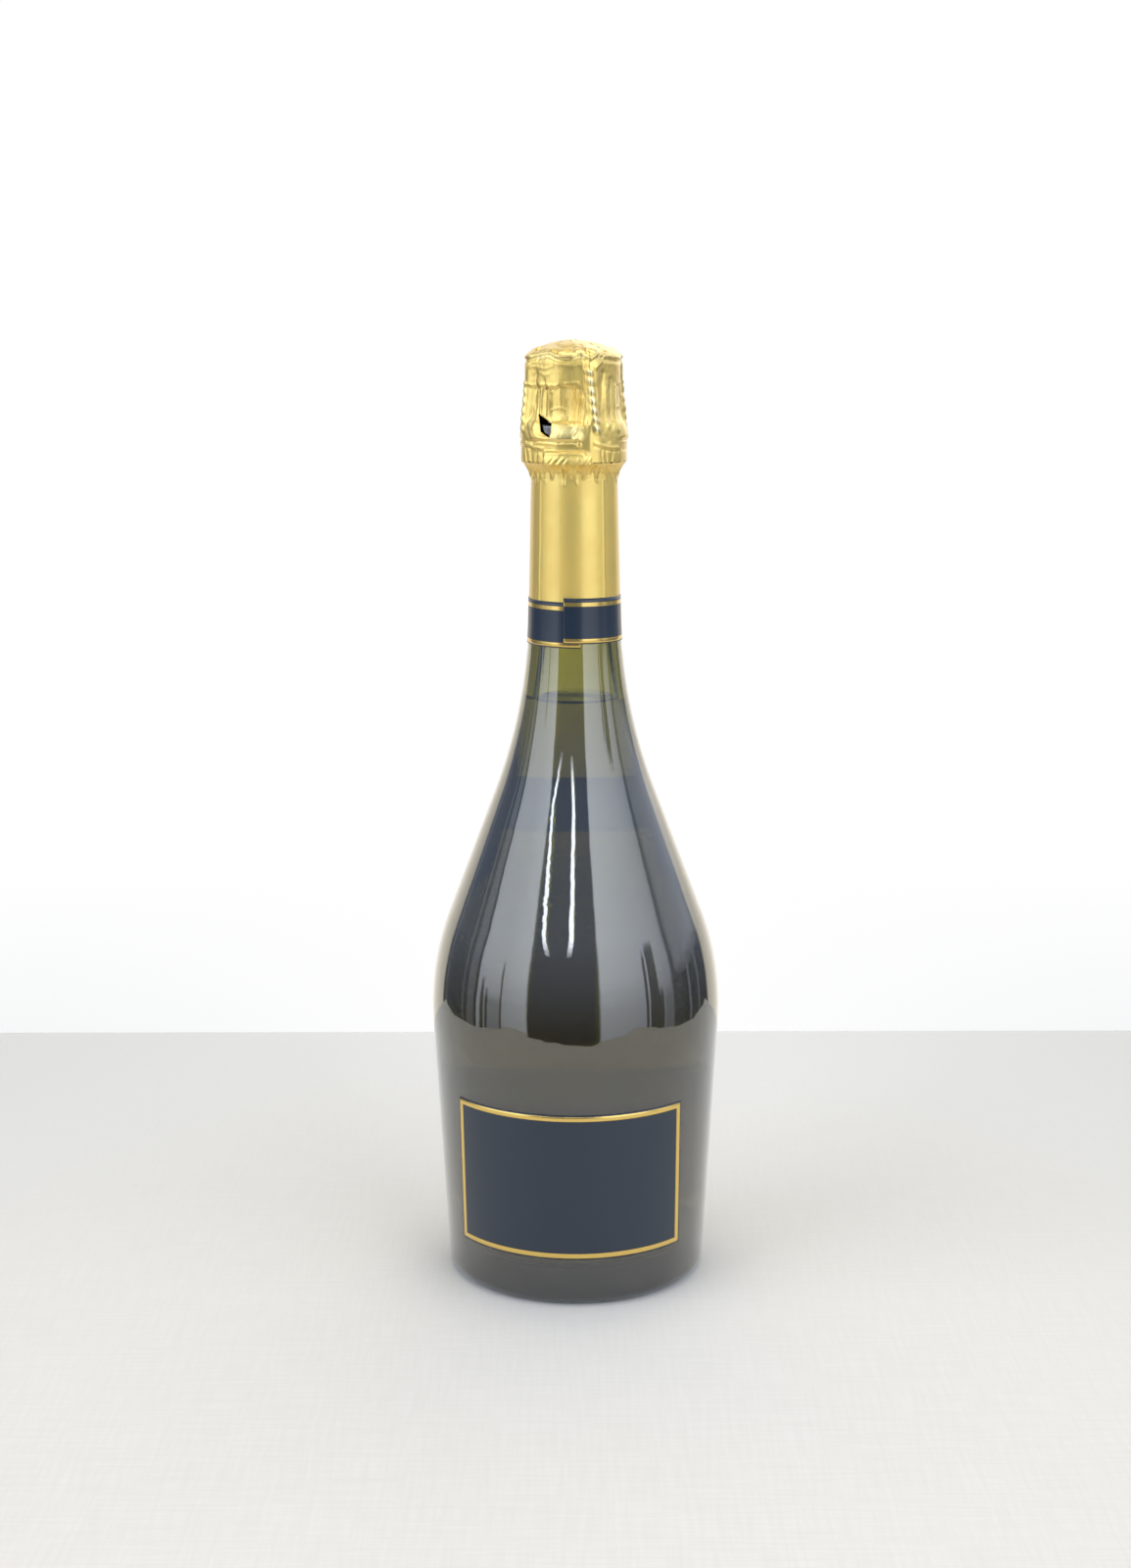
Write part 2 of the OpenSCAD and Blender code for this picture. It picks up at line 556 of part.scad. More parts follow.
// A point of the hood's skin: low between the legs, high on them, out a little at a pleat
function column_azimuth(c) = leg_azimuth + 360 * (c[0] + column_shares[c[1]]) / leg_count;
function over_root(azimuth) = azimuth - 360 > key_from && azimuth - 360 < key_root_to + key_bend_angle / 2;
function hood_share(row, c) = row < 2 && over_root(column_azimuth(c)) ? 1 : ride_shares[c[1]];
function hood_point(low, high, row, c) =
    let (share = hood_share(row, c),
        pleat = pleat_d * pleat_shares[c[1]] * pleat_row_shares[row] * (1 - share))
    around(low[row] + share * (high[row] - low[row]) + [pleat, 0], column_azimuth(c));
module foil_hood() {
    rows = len(hood_low);
    count = len(columns);
    top = rows - 1;
    low_out = swell(hood_low, foil_t);
    high_out = swell(hood_high, foil_t);
    inner = [for (row = [0:top], c = columns) hood_point(hood_low, hood_high, row, c)];
    outer = [for (row = [0:top], c = columns) hood_point(low_out, high_out, row, c)];
    crown_in = 2 * rows * count;
    crown_out = crown_in + 1;
    out = rows * count;
    wall = [for (row = [0:top - 1], k = [0:count - 1])
        let (a = row * count + k, b = row * count + next(k, count), c = a + count, d = b + count) each
        [[a, b, c], [b, d, c], [out + a, out + c, out + b], [out + b, out + c, out + d]]];
    rim = [for (k = [0:count - 1]) let (a = k, b = next(k, count)) each
        [[a, out + a, b], [b, out + a, out + b]]];
    crown = [for (k = [0:count - 1]) let (a = top * count + k, b = top * count + next(k, count)) each
        [[a, b, crown_in], [out + a, crown_out, out + b]]];
    color(foil_colour) polyhedron(
        concat(inner, outer, [[0, 0, hood_top_z], [0, 0, hood_top_z + foil_t]]),
        concat(wall, rim, crown));
}

// Foil sleeve: on the neck under the collar, up to the flare below the belt
module foil_sleeve() {
    color(foil_colour) rotate_extrude() polygon(skin(
        concat(swell(side_between(sleeve_z, flare_z), lay_clear), [[hood_rim_r - foil_t, tear_z]]), foil_t));
}

// Collar: a band wound once round the neck and on over its own end, a little lower each step
collar_steps = 72;
collar_angle = 360 + collar_lap;
collar_row_shares = [0, 0.5, 1];
collar_lift = paper_t + lay_clear;
collar_lay = foil_t + 2 * lay_clear;
function collar_section(share) =
    let (turned = share * collar_angle,
        lift = collar_lift * (1 - ease(share_of(turned, collar_lap, 2 * collar_lap))),
        zs = [for (row = collar_row_shares) collar_z - collar_drop * share + collar_w * row])
    concat([for (z = zs) [side_r(z) + collar_lay + lift, z]],
        [for (z = backwards(zs)) [side_r(z) + collar_lay + lift + paper_t, z]]);
module collar() {
    corners = 2 * len(collar_row_shares);
    last = collar_steps * corners;
    points = [for (i = [0:collar_steps]) let (share = i / collar_steps) each
        [for (p = collar_section(share)) around(p, collar_from + collar_angle * share)]];
    wall = [for (i = [0:collar_steps - 1], k = [0:corners - 1])
        let (a = i * corners + k, b = i * corners + next(k, corners), c = a + corners, d = b + corners) each
        [[a, c, b], [b, c, d]]];
    first_end = [for (i = [0, 1]) each
        [[i, i + 1, corners - 2 - i], [i, corners - 2 - i, corners - 1 - i]]];
    last_end = [for (face = first_end) [for (v = backwards(face)) v + last]];
    color(paper_colour) polyhedron(points, concat(wall, first_end, last_end));
}

// A label: paper that lies on the glass over part of the way round
module label(from, height, middle, angle) {
    color(paper_colour) rotate_extrude(angle = angle, start = middle - angle / 2 - 90)
        polygon(skin(swell(side_between(from, from + height), lay_clear), paper_t));
}
module back_label() { label(back_label_z, back_label_h, back_label_mid, back_label_angle); }
module front_label() { label(front_label_z, front_label_h, 180, front_label_angle); }
module shoulder_label() { label(shoulder_label_z, shoulder_label_h, 180, shoulder_label_angle); }

glass_bottle();
wine();
cork_body();
cork_disc_upper();
cork_disc_lower();
plaque();
cage_top_ring();
cage_leg_1();
cage_leg_2();
cage_leg_3();
cage_leg_4();
cage_belt();
belt_key();
foil_hood();
foil_sleeve();
collar();
back_label();
front_label();
shoulder_label();
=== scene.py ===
"""A closed champagne bottle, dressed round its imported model.

Lengths are millimetres until a mesh is made, and metres in Blender. An azimuth is counted in
degrees from -Y, where the viewer stands, towards +X, as in the part's source.
"""

import logging
import math
from bisect import bisect_right
from collections.abc import Callable, Sequence
from dataclasses import dataclass
from enum import Enum
from functools import cached_property, partial
from typing import Any

import bmesh
import bpy
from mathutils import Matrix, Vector, noise


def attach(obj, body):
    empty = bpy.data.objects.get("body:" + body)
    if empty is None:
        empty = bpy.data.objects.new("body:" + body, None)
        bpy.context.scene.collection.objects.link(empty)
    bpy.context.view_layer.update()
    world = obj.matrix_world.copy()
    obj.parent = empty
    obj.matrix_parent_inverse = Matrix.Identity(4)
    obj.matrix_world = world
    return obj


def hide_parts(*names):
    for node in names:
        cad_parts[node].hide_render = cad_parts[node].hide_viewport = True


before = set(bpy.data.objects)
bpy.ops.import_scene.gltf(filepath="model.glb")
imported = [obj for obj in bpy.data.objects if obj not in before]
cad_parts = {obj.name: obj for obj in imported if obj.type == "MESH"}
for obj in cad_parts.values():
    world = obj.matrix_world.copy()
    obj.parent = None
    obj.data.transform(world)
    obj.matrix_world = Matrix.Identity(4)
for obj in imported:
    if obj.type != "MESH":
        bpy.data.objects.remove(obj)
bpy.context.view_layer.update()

MM = 0.001
LOG = logging.getLogger("bottle")
Point = tuple[float, float]


class Body(Enum):
    """The bodies that move against each other."""

    BOTTLE = "bottle"
    CORK = "cork"
    CAGE = "cage"
    HOOD = "hood"


class Slot(Enum):
    """The record's material slots."""

    GLASS = "bottle_glass"
    WINE = "wine_liquid"
    AGGLOMERATE = "agglomerated_cork"
    NATURAL = "natural_cork"
    WIRE = "galvanised_wire"
    TINPLATE = "lacquered_tinplate"
    FOIL = "gold_foil"
    PAPER = "dark_label_paper"


# Lines and curves of an outline, as radius and height


def arc(centre: Point, radius: float, start: float, end: float, steps: int) -> list[Point]:
    """Draws an arc.

    Args:
        centre: Centre of the arc.
        radius: Its radius.
        start: Angle of its first point, in degrees.
        end: Angle of its last point.
        steps: Number of steps between them.

    Returns:
        The points of the arc, both ends included.
    """
    angles = [math.radians(start + (end - start) * i / steps) for i in range(steps + 1)]
    return [(centre[0] + radius * math.cos(a), centre[1] + radius * math.sin(a)) for a in angles]


def meet(p: Vector, u: Vector, q: Vector, v: Vector) -> Vector:
    """Finds where two lines cross.

    Args:
        p: A point of the first line.
        u: Its direction.
        q: A point of the second line.
        v: Its direction.

    Returns:
        The crossing.
    """
    return p + u * ((q - p).cross(v) / u.cross(v))


def corner(a: Point, b: Point, c: Point, radius: float, steps: int = 10) -> list[Point]:
    """Rounds the corner of an outline.

    Args:
        a: The point before the corner.
        b: The corner.
        c: The point after it.
        radius: Radius of the rounding.
        steps: Number of steps of the arc.

    Returns:
        The points of the rounding.
    """
    at = Vector(b)
    u, v = (Vector(a) - at).normalized(), (Vector(c) - at).normalized()
    half = math.acos(max(-1.0, min(1.0, u.dot(v)))) / 2
    centre = at + (u + v).normalized() * radius / math.sin(half)
    ends = [at + w * radius / math.tan(half) - centre for w in (u, v)]
    start, end = (math.degrees(math.atan2(e.y, e.x)) for e in ends)
    turn = (end - start + 180) % 360 - 180
    return arc(tuple(centre), radius, start, start + turn, steps)


def tangent_angle(centre: Point, radius: float, point: Point) -> float:
    """Gives the angle at which the line from a point outside a circle touches it.

    Args:
        centre: Centre of the circle.
        radius: Its radius.
        point: The point outside it.

    Returns:
        The angle of the touching point, in degrees.
    """
    away = Vector(point) - Vector(centre)
    return math.degrees(math.atan2(away.y, away.x) + math.acos(radius / away.length))


def share_of(value: float, start: float, end: float) -> float:
    """Gives how far a value is from start to end, held between 0 and 1."""
    return min(1.0, max(0.0, (value - start) / (end - start)))


def ease(value: float, start: float = 0.0, end: float = 1.0) -> float:
    """Gives the share of the way from start to end, eased at both ends."""
    share = share_of(value, start, end)
    return share * share * (3 - 2 * share)


def window(value: float, start: float, end: float, fade: float) -> float:
    """Gives 1 between start and end and 0 outside, with soft ends of the length fade."""
    return ease(value, start - fade, start) * (1 - ease(value, end, end + fade))


def read_off(x: float, xs: Sequence[float], ys: Sequence[float]) -> float:
    """Reads a value off a line of points.

    Args:
        x: Where to read.
        xs: Rising places.
        ys: The values there.

    Returns:
        The value at x, straight between its neighbours.
    """
    i = min(len(xs) - 2, max(0, bisect_right(xs, x) - 1))
    return ys[i] + (ys[i + 1] - ys[i]) * share_of(x, xs[i], xs[i + 1])


def cut_corners(points: Sequence[Point], rounds: int) -> list[Point]:
    """Softens a line by cutting its corners.

    Args:
        points: The line.
        rounds: How many times each corner is cut.

    Returns:
        The softer line, with the same ends.
    """
    line = [Vector(p) for p in points]
    for _ in range(rounds):
        cut = [q for a, b in zip(line, line[1:]) for q in (a.lerp(b, 0.25), a.lerp(b, 0.75))]
        line = [line[0], *cut[1:-1], line[-1]]
    return [tuple(p) for p in line]


def around(radius: float, height: float, azimuth: float) -> Vector:
    """Places a point on the bottle, in metres, from its radius, height and azimuth."""
    a = math.radians(azimuth)
    return Vector((radius * math.sin(a), -radius * math.cos(a), height)) * MM


def ripple(x: float, y: float, z: float = 0.0) -> float:
    """Gives smooth noise between about -1 and 1."""
    return noise.noise(Vector((x, y, z)))


def closest(point: Vector, a: Vector, b: Vector) -> Vector:
    """Gives the point of the line from a to b that is closest to a point."""
    share = (point - a).dot(b - a) / (b - a).length_squared
    return a + (b - a) * min(1.0, max(0.0, share))


def azimuth_of(point: Vector) -> float:
    """Gives the azimuth of a point, in degrees."""
    return math.degrees(math.atan2(point.x, -point.y))


def tear(azimuth: float) -> float:
    """Gives how far the wavy line where hood and sleeve part stands over its middle, in millimetres."""
    return 0.32 * ripple(azimuth / 6, 3) + 0.22 * ripple(azimuth / 2.2, 5) - 0.6 * window(azimuth, -32, 14, 9)


def polar(vert: bmesh.types.BMVert) -> Point:
    """Gives a corner's radius and height, in millimetres."""
    return math.hypot(vert.co.x, vert.co.y) / MM, vert.co.z / MM


def push_out(vert: bmesh.types.BMVert, distance: float) -> None:
    """Moves a corner away from the bottle's axis, in millimetres."""
    radius = polar(vert)[0]
    scale = (radius + distance) / radius
    vert.co.x, vert.co.y = vert.co.x * scale, vert.co.y * scale


# Materials


def linear(colour: str) -> tuple[float, float, float, float]:
    """Turns an sRGB hex colour such as #dcc069 into linear red, green, blue and alpha."""
    parts = [int(colour[i:i + 2], 16) / 255 for i in (1, 3, 5)]
    return (*(c / 12.92 if c <= 0.04045 else ((c + 0.055) / 1.055) ** 2.4 for c in parts), 1.0)


def add_node(tree: bpy.types.NodeTree, kind: str, inputs: dict[Any, Any] | Sequence[Any] = (),
             stops: Sequence[tuple[float, str | float]] = (), **settings: Any) -> bpy.types.Node:
    """Adds a node to a tree.

    Args:
        tree: The node tree.
        kind: Blender's name of the node, without ShaderNode.
        inputs: Value, hex colour, socket or node for each input, by its name or number.
        stops: Places of a colour ramp, each with its hex colour or grey level.
        settings: Values of the node's own properties.

    Returns:
        The node.
    """
    node = tree.nodes.new("ShaderNode" + kind)
    for name, value in settings.items():
        setattr(node, name, value)
    for i, (at, colour) in enumerate(stops):
        stop = node.color_ramp.elements[i] if i < 2 else node.color_ramp.elements.new(at)
        stop.position = at
        stop.color = linear(colour) if isinstance(colour, str) else (colour, colour, colour, 1.0)
    for key, value in inputs.items() if isinstance(inputs, dict) else enumerate(inputs):
        if isinstance(value, bpy.types.Node):
            value = next(socket for socket in value.outputs if socket.enabled)
        if isinstance(value, bpy.types.NodeSocket):
            tree.links.new(value, node.inputs[key])
        else:
            node.inputs[key].default_value = linear(value) if isinstance(value, str) else value
    return node


AddNode = Callable[..., bpy.types.Node]


@dataclass(frozen=True)
class Finish:
    """A material on a Principled shader."""

    name: str

    def sockets(self, add: AddNode) -> dict[str, Any]:
        """Gives what goes into the shader's sockets, and into the output's Volume."""
        raise NotImplementedError

    def material(self) -> bpy.types.Material:
        """Makes the material, once for each name."""
        known = bpy.data.materials.get(self.name)
        if known:
            return known
        made = bpy.data.materials.new(self.name)
        made.use_nodes = True
        made.node_tree.nodes.clear()
        add = partial(add_node, made.node_tree)
        inputs = self.sockets(add)
        depth = {"Volume": inputs.pop("Volume")} if "Volume" in inputs else {}
        add("OutputMaterial", {"Surface": add("BsdfPrincipled", inputs), **depth})
        return made


def object_place(add: AddNode, scale: Sequence[float] = (1, 1, 1)) -> bpy.types.Node:
    """Reads the place on the piece in metres, scaled along each axis."""
    return add("Mapping", {"Vector": add("TexCoord").outputs["Object"], "Scale": scale})


def per_mm(size: float) -> float:
    """Gives the texture scale at which one grain is this many millimetres."""
    return 1 / (size * MM)


@dataclass(frozen=True)
class BottleGlass(Finish):
    """Soda-lime bottle glass, coloured olive by iron and blown in a mould.

    It leaves the lehr with a coat of tin oxide and clear wax, which reflects more than bare glass.
    """

    name: str = "olive_bottle_glass"
    absorbed: str = "#d5d44c"
    density: float = 480.0

    def sockets(self, add: AddNode) -> dict[str, Any]:
        """Makes clear glass with a faintly uneven skin and the colour in its depth."""
        # The mould and the quick cooling leave waves about 9 mm long, which bend straight reflections
        tall, level = object_place(add, (1, 1, 0.35)), object_place(add, (0.3, 0.3, 1))
        waves = add("TexNoise", {"Vector": tall, "Scale": per_mm(9), "Detail": 1.0})
        broad = add("Bump", {"Height": waves, "Strength": 0.12, "Distance": 0.0004})
        # Level ripples about 3 mm high are left where the gob was drawn out over the shoulder
        ripples = add("TexNoise", {"Vector": level, "Scale": per_mm(3), "Detail": 1.0})
        bump = add("Bump", {"Height": ripples, "Strength": 0.1, "Distance": 0.0003, "Normal": broad})
        # Only the outside has the coat, and wine against the inner wall takes most of its reflection away
        coat = add("Attribute", attribute_name="coated").outputs["Fac"]
        return {"Base Color": "#ffffff", "Roughness": 0.015, "IOR": 1.52, "Specular IOR Level": 0.25,
                "Transmission Weight": 1.0, "Coat Weight": coat, "Coat Roughness": 0.02, "Coat IOR": 1.85,
                "Normal": bump, "Coat Normal": bump,
                "Volume": add("VolumeAbsorption", {"Color": self.absorbed, "Density": self.density})}


@dataclass(frozen=True)
class Wine(Finish):
    """Sparkling wine: a clear amber liquid, which bends light and has its colour in its depth."""

    name: str = "sparkling_wine"
    absorbed: str = "#b0a474"
    density: float = 46.0

    def sockets(self, add: AddNode) -> dict[str, Any]:
        """Makes a clear liquid whose colour grows with its depth."""
        return {"Base Color": "#ffffff", "Roughness": 0.0, "IOR": 1.34, "Specular IOR Level": 0.2,
                "Transmission Weight": 1.0,
                "Volume": add("VolumeAbsorption", {"Color": self.absorbed, "Density": self.density})}


@dataclass(frozen=True)
class GoldFoil(Finish):
    """Aluminium foil with gold lacquer, pressed on by rubber: satin, with fine rolling lines."""

    name: str = "pressed_gold_foil"
    gold: str = "#f9dc7a"
    worn: str = "#f1cc6a"
    # Paler gold of worn places, which is also a painted highlight
    rub_and_highlight_gold: str = "#ffecaa"
    roughness: float = 0.43
    burnished: float = 0.3

    def sockets(self, add: AddNode) -> dict[str, Any]:
        """Makes satin gold with slight unevenness of lacquer, small dents, and paler worn places that also
        carry a painted highlight.
        """
        patches = add("TexNoise", {"Vector": object_place(add), "Scale": per_mm(11), "Detail": 3.0})
        tone = add("Mix", {"Factor": patches, "A": self.gold, "B": self.worn}, data_type="RGBA")
        gloss = add("MapRange", (patches, 0.3, 0.7, self.roughness - 0.04, self.roughness + 0.06))
        # Dents of handling are about 2 mm wide, and the foil's rolled grain is about 0.25 mm
        dents = add("TexNoise", {"Vector": object_place(add), "Scale": per_mm(2.2), "Detail": 2.0})
        grain = add("TexNoise", {"Vector": object_place(add, (1, 1, 0.2)), "Scale": per_mm(0.25)})
        dented = add("Bump", {"Height": dents, "Strength": 0.25, "Distance": 0.0002})
        bump = add("Bump", {"Height": grain, "Strength": 0.06, "Distance": 0.00005, "Normal": dented})
        # Where a wire presses from within, the lacquer is worn smoother and thinner; the paler colour there
        # is partly bared metal and partly a painted highlight
        rub_and_highlight_mask = add("Attribute", attribute_name="rub_and_highlight").outputs["Fac"]
        return {"Base Color": add("Mix", {"Factor": rub_and_highlight_mask, "A": tone, "B": self.rub_and_highlight_gold}, data_type="RGBA"),
                "Roughness": add("Mix", {"Factor": rub_and_highlight_mask, "A": gloss, "B": self.burnished}),
                "Metallic": 1.0, "Coat Weight": 0.8, "Coat Roughness": 0.1, "Normal": bump}


@dataclass(frozen=True)
class Wire(Finish):
    """Annealed and galvanised steel wire, drawn through a die: soft grey metal with faint lines."""

    name: str = "zinc_coated_wire"
    zinc: str = "#c6c8ca"
    dull: str = "#9c9fa2"

    def sockets(self, add: AddNode) -> dict[str, Any]:
        """Makes zinc with dull patches and drawing marks."""
        spots = add("TexNoise", {"Vector": object_place(add), "Scale": per_mm(1.5), "Detail": 4.0})
        return {"Base Color": add("Mix", {"Factor": spots, "A": self.zinc, "B": self.dull}, data_type="RGBA"),
                "Metallic": 1.0, "Roughness": 0.34,
                "Normal": add("Bump", {"Height": spots, "Strength": 0.2, "Distance": 0.00003})}


@dataclass(frozen=True)
class Tinplate(Finish):
    """Tinplate with a gold lacquer, pressed to a dome: smooth and glossy under its lacquer."""

    name: str = "gold_lacquered_tin"
    gold: str = "#d9bd63"

    def sockets(self, add: AddNode) -> dict[str, Any]:
        """Makes glossy gold lacquer with the faint orange peel of a stove finish."""
        peel = add("TexNoise", {"Vector": object_place(add), "Scale": per_mm(0.8), "Detail": 1.0})
        return {"Base Color": self.gold, "Metallic": 1.0, "Roughness": 0.26, "Coat Weight": 0.8,
                "Coat Roughness": 0.06,
                "Normal": add("Bump", {"Height": peel, "Strength": 0.08, "Distance": 0.00004})}


@dataclass(frozen=True)
class Agglomerate(Finish):
    """Agglomerated cork: granules of 2 to 3 mm pressed with glue and ground round."""

    name: str = "pressed_cork_granules"
    tones: tuple[str, ...] = ("#8a5f38", "#b98a58", "#cfa673", "#a77747")
    granule: float = 2.4

    def sockets(self, add: AddNode) -> dict[str, Any]:
        """Makes granules of several browns with darker glue between them."""
        at = {"Vector": object_place(add), "Scale": per_mm(self.granule)}
        cells = add("TexVoronoi", at).outputs["Color"]
        edges = add("TexVoronoi", at, feature="DISTANCE_TO_EDGE")
        tone = add("ValToRGB", (add("SeparateColor", (cells,)),),
                   stops=[(i / (len(self.tones) - 1), colour) for i, colour in enumerate(self.tones)])
        seam = add("MapRange", (edges, 0, 0.08))
        pores = add("TexNoise", {"Vector": object_place(add), "Scale": per_mm(0.5), "Detail": 4.0})
        height = add("Math", (seam, pores), operation="MULTIPLY")
        return {"Base Color": add("Mix", {"Factor": seam, "A": "#6d4729", "B": tone}, data_type="RGBA"),
                "Roughness": 0.82, "IOR": 1.45,
                "Normal": add("Bump", {"Height": height, "Strength": 0.6, "Distance": 0.0003})}


@dataclass(frozen=True)
class NaturalCork(Finish):
    """Natural cork, punched across the bark: pale tan with dark pores and year lines."""

    name: str = "punched_bark_cork"
    pale: str = "#d8b585"
    dark: str = "#a67c4f"

    def sockets(self, add: AddNode) -> dict[str, Any]:
        """Makes fine year lines along one axis and scattered pores."""
        along = object_place(add, (1, 0.15, 0.15))
        lines = add("TexNoise", {"Vector": along, "Scale": per_mm(1.2), "Detail": 4.0})
        tone = add("Mix", {"Factor": lines, "A": self.pale, "B": self.dark}, data_type="RGBA")
        pores = add("TexVoronoi", {"Vector": object_place(add, (1, 1, 0.4)), "Scale": per_mm(1.6)})
        hole = add("MapRange", (pores, 0.08, 0.2))
        return {"Base Color": add("Mix", {"Factor": hole, "A": "#5f3d22", "B": tone}, data_type="RGBA"),
                "Roughness": 0.8, "IOR": 1.45,
                "Normal": add("Bump", {"Height": hole, "Strength": 0.4, "Distance": 0.0002})}


@dataclass(frozen=True)
class PrintedPaper(Finish):
    """Coated label paper, printed deep blue-black and stamped with gold foil lines, under a satin varnish.

    The lines lie at given depths from the sheet's edges, in millimetres of its UV map.
    """

    name: str = "label_paper"
    width: float = 100.0
    height: float = 50.0
    framed: bool = True
    band: Point = (0.5, 2.1)
    low_shift: float = 0.0
    ink: str = "#152432"
    ink_worn: str = "#1b2938"
    gold: str = "#e6c36a"
    outline: str = "#3c2f14"
    line: float = 0.16

    def sockets(self, add: AddNode) -> dict[str, Any]:
        """Makes the printed ground with its gold lines."""
        u, v, _ = add("SeparateXYZ", (add("UVMap", uv_map="UVMap"),)).outputs
        edges = [add("Math", (v, self.low_shift), operation="ADD"),
                 add("Math", (self.height, v), operation="SUBTRACT")]
        if self.framed:
            edges += [u, add("Math", (self.width, u), operation="SUBTRACT")]
        depth = edges[0]
        for edge in edges[1:]:
            depth = add("Math", (depth, edge), operation="MINIMUM")
        middle, half = sum(self.band) / 2, (self.band[1] - self.band[0]) / 2
        in_gold = add("Math", (depth, middle, half), operation="COMPARE")
        in_line = add("Math", (depth, middle, half + self.line), operation="COMPARE")
        # Paper fibres are about 0.35 mm, and the foil stamp is pressed a little into the sheet
        fibre = add("TexNoise", {"Vector": object_place(add), "Scale": per_mm(0.35), "Detail": 3.0})
        height = add("Math", (in_gold, -1.5, fibre), operation="MULTIPLY_ADD")
        colour = add("Mix", {"Factor": fibre, "A": self.ink, "B": self.ink_worn}, data_type="RGBA")
        for share, print_colour in ((in_line, self.outline), (in_gold, self.gold)):
            colour = add("Mix", {"Factor": share, "A": colour, "B": print_colour}, data_type="RGBA")
        return {"Base Color": colour, "Metallic": add("Math", (in_gold, 0.9), operation="MULTIPLY"),
                "Roughness": add("MapRange", (in_gold, 0, 1, 0.4, 0.22)),
                "IOR": 1.42, "Coat Weight": 0.5, "Coat Roughness": 0.2,
                "Normal": add("Bump", {"Height": height, "Strength": 0.15, "Distance": 0.00004})}


@dataclass(frozen=True)
class TableTop(Finish):
    """Pale laminate with a fine woven grain, and painted shade that darkens its back half and corners."""

    name: str = "pale_laminate"
    light: str = "#efebe2"
    dark: str = "#e8e4da"
    # The next two colours are painted shade, not the laminate's own colour
    far_painted_shade: str = "#e0dfd9"
    corner: str = "#d3d2cd"

    def sockets(self, add: AddNode) -> dict[str, Any]:
        """Makes a pale ground with crossed threads of about 1.5 mm, drawn coarse enough to show."""
        warp, weft = (add("TexNoise", {"Vector": object_place(add, scale), "Scale": per_mm(1.5),
                                       "Detail": 3.0})
                      for scale in ((0.06, 1, 1), (1, 0.06, 1)))
        both = add("Math", (warp, weft), operation="MULTIPLY")
        tone = add("ValToRGB", (both,), stops=[(0.12, self.dark), (0.4, self.light)])
        # Painted shade: the back half is drawn darker, most of all in its corners, where less of the room's
        # light falls
        x, y, _ = add("SeparateXYZ", (object_place(add),)).outputs
        back = add("MapRange", (y, -0.3, 0.26, 0, 0.85))
        wide = add("MapRange", (add("Math", (x,), operation="ABSOLUTE"), 0.08, 0.34, 0, back))
        for share, colour in ((back, self.far_painted_shade), (wide, self.corner)):
            tone = add("Mix", {"Factor": share, "A": tone, "B": colour}, data_type="RGBA")
        return {"Base Color": tone, "Roughness": 0.8, "IOR": 1.4}


# Meshes


def merge(bm: bmesh.types.BMesh) -> None:
    """Merges corners that lie on each other, and turns the faces outwards."""
    bmesh.ops.remove_doubles(bm, verts=bm.verts, dist=1e-7)
    bmesh.ops.recalc_face_normals(bm, faces=bm.faces)


def finished(name: str, bm: bmesh.types.BMesh, finish: Finish, sharp: float = 40.0) -> bpy.types.Object:
    """Turns a bmesh into a smooth piece in the scene.

    Args:
        name: Name of the piece.
        bm: Its shape, which is used up.
        finish: Its finish.
        sharp: Angle in degrees over which an edge stays sharp.

    Returns:
        The piece.
    """
    mesh = bpy.data.meshes.new(name)
    bm.to_mesh(mesh)
    bm.free()
    mesh.shade_smooth()
    mesh.set_sharp_from_angle(angle=math.radians(sharp))
    mesh.materials.append(finish.material())
    piece = bpy.data.objects.new(name, mesh)
    bpy.context.scene.collection.objects.link(piece)
    return piece


def spun(outline: Sequence[Point], steps: int, closed: bool = False, coated: int = 0) -> bmesh.types.BMesh:
    """Spins an outline round the bottle's axis.

    Args:
        outline: The outline, as radius and height in millimetres.
        steps: Number of steps of the full turn.
        closed: Whether the last point joins the first.
        coated: How many of the first points get 1 in the attribute "coated".

    Returns:
        The spun shape with closed poles and its faces outwards.
    """
    bm = bmesh.new()
    layer = bm.verts.layers.float.new("coated") if coated else None
    verts = [bm.verts.new((r * MM, 0.0, z * MM)) for r, z in outline]
    for vert in verts[:coated]:
        vert[layer] = 1.0
    edges = [bm.edges.new(pair) for pair in zip(verts, verts[1:] + verts[:1] if closed else verts[1:])]
    bmesh.ops.spin(bm, geom=verts + edges, cent=(0, 0, 0), axis=(0, 0, 1), angle=math.tau,
                   steps=steps, use_merge=True, use_duplicate=False)
    merge(bm)
    return bm


def sheet(columns: int, rows: int, place: Callable[[float, float], Vector], size: Point = (1.0, 1.0),
          joined: bool = False) -> bmesh.types.BMesh:
    """Bends a flat grid into a sheet.

    Args:
        columns: Faces across.
        rows: Faces up.
        place: Gives the place of a point from its shares across and up.
        size: Width and height that the UV map takes, in millimetres on a printed sheet.
        joined: Whether the sheet's sides meet.

    Returns:
        The sheet with its UV map.
    """
    bm = bmesh.new()
    uv = bm.loops.layers.uv.new("UVMap")
    bmesh.ops.create_grid(bm, x_segments=columns, y_segments=rows, size=0.5, calc_uvs=False)
    for face in bm.faces:
        for loop in face.loops:
            loop[uv].uv = ((loop.vert.co.x + 0.5) * size[0], (loop.vert.co.y + 0.5) * size[1])
    for vert in bm.verts:
        vert.co = place(vert.co.x + 0.5, vert.co.y + 0.5)
    if joined:
        # Columns follow the azimuth and rows go up, so the faces of the tube point outwards as they are
        bmesh.ops.remove_doubles(bm, verts=bm.verts, dist=1e-7)
    return bm


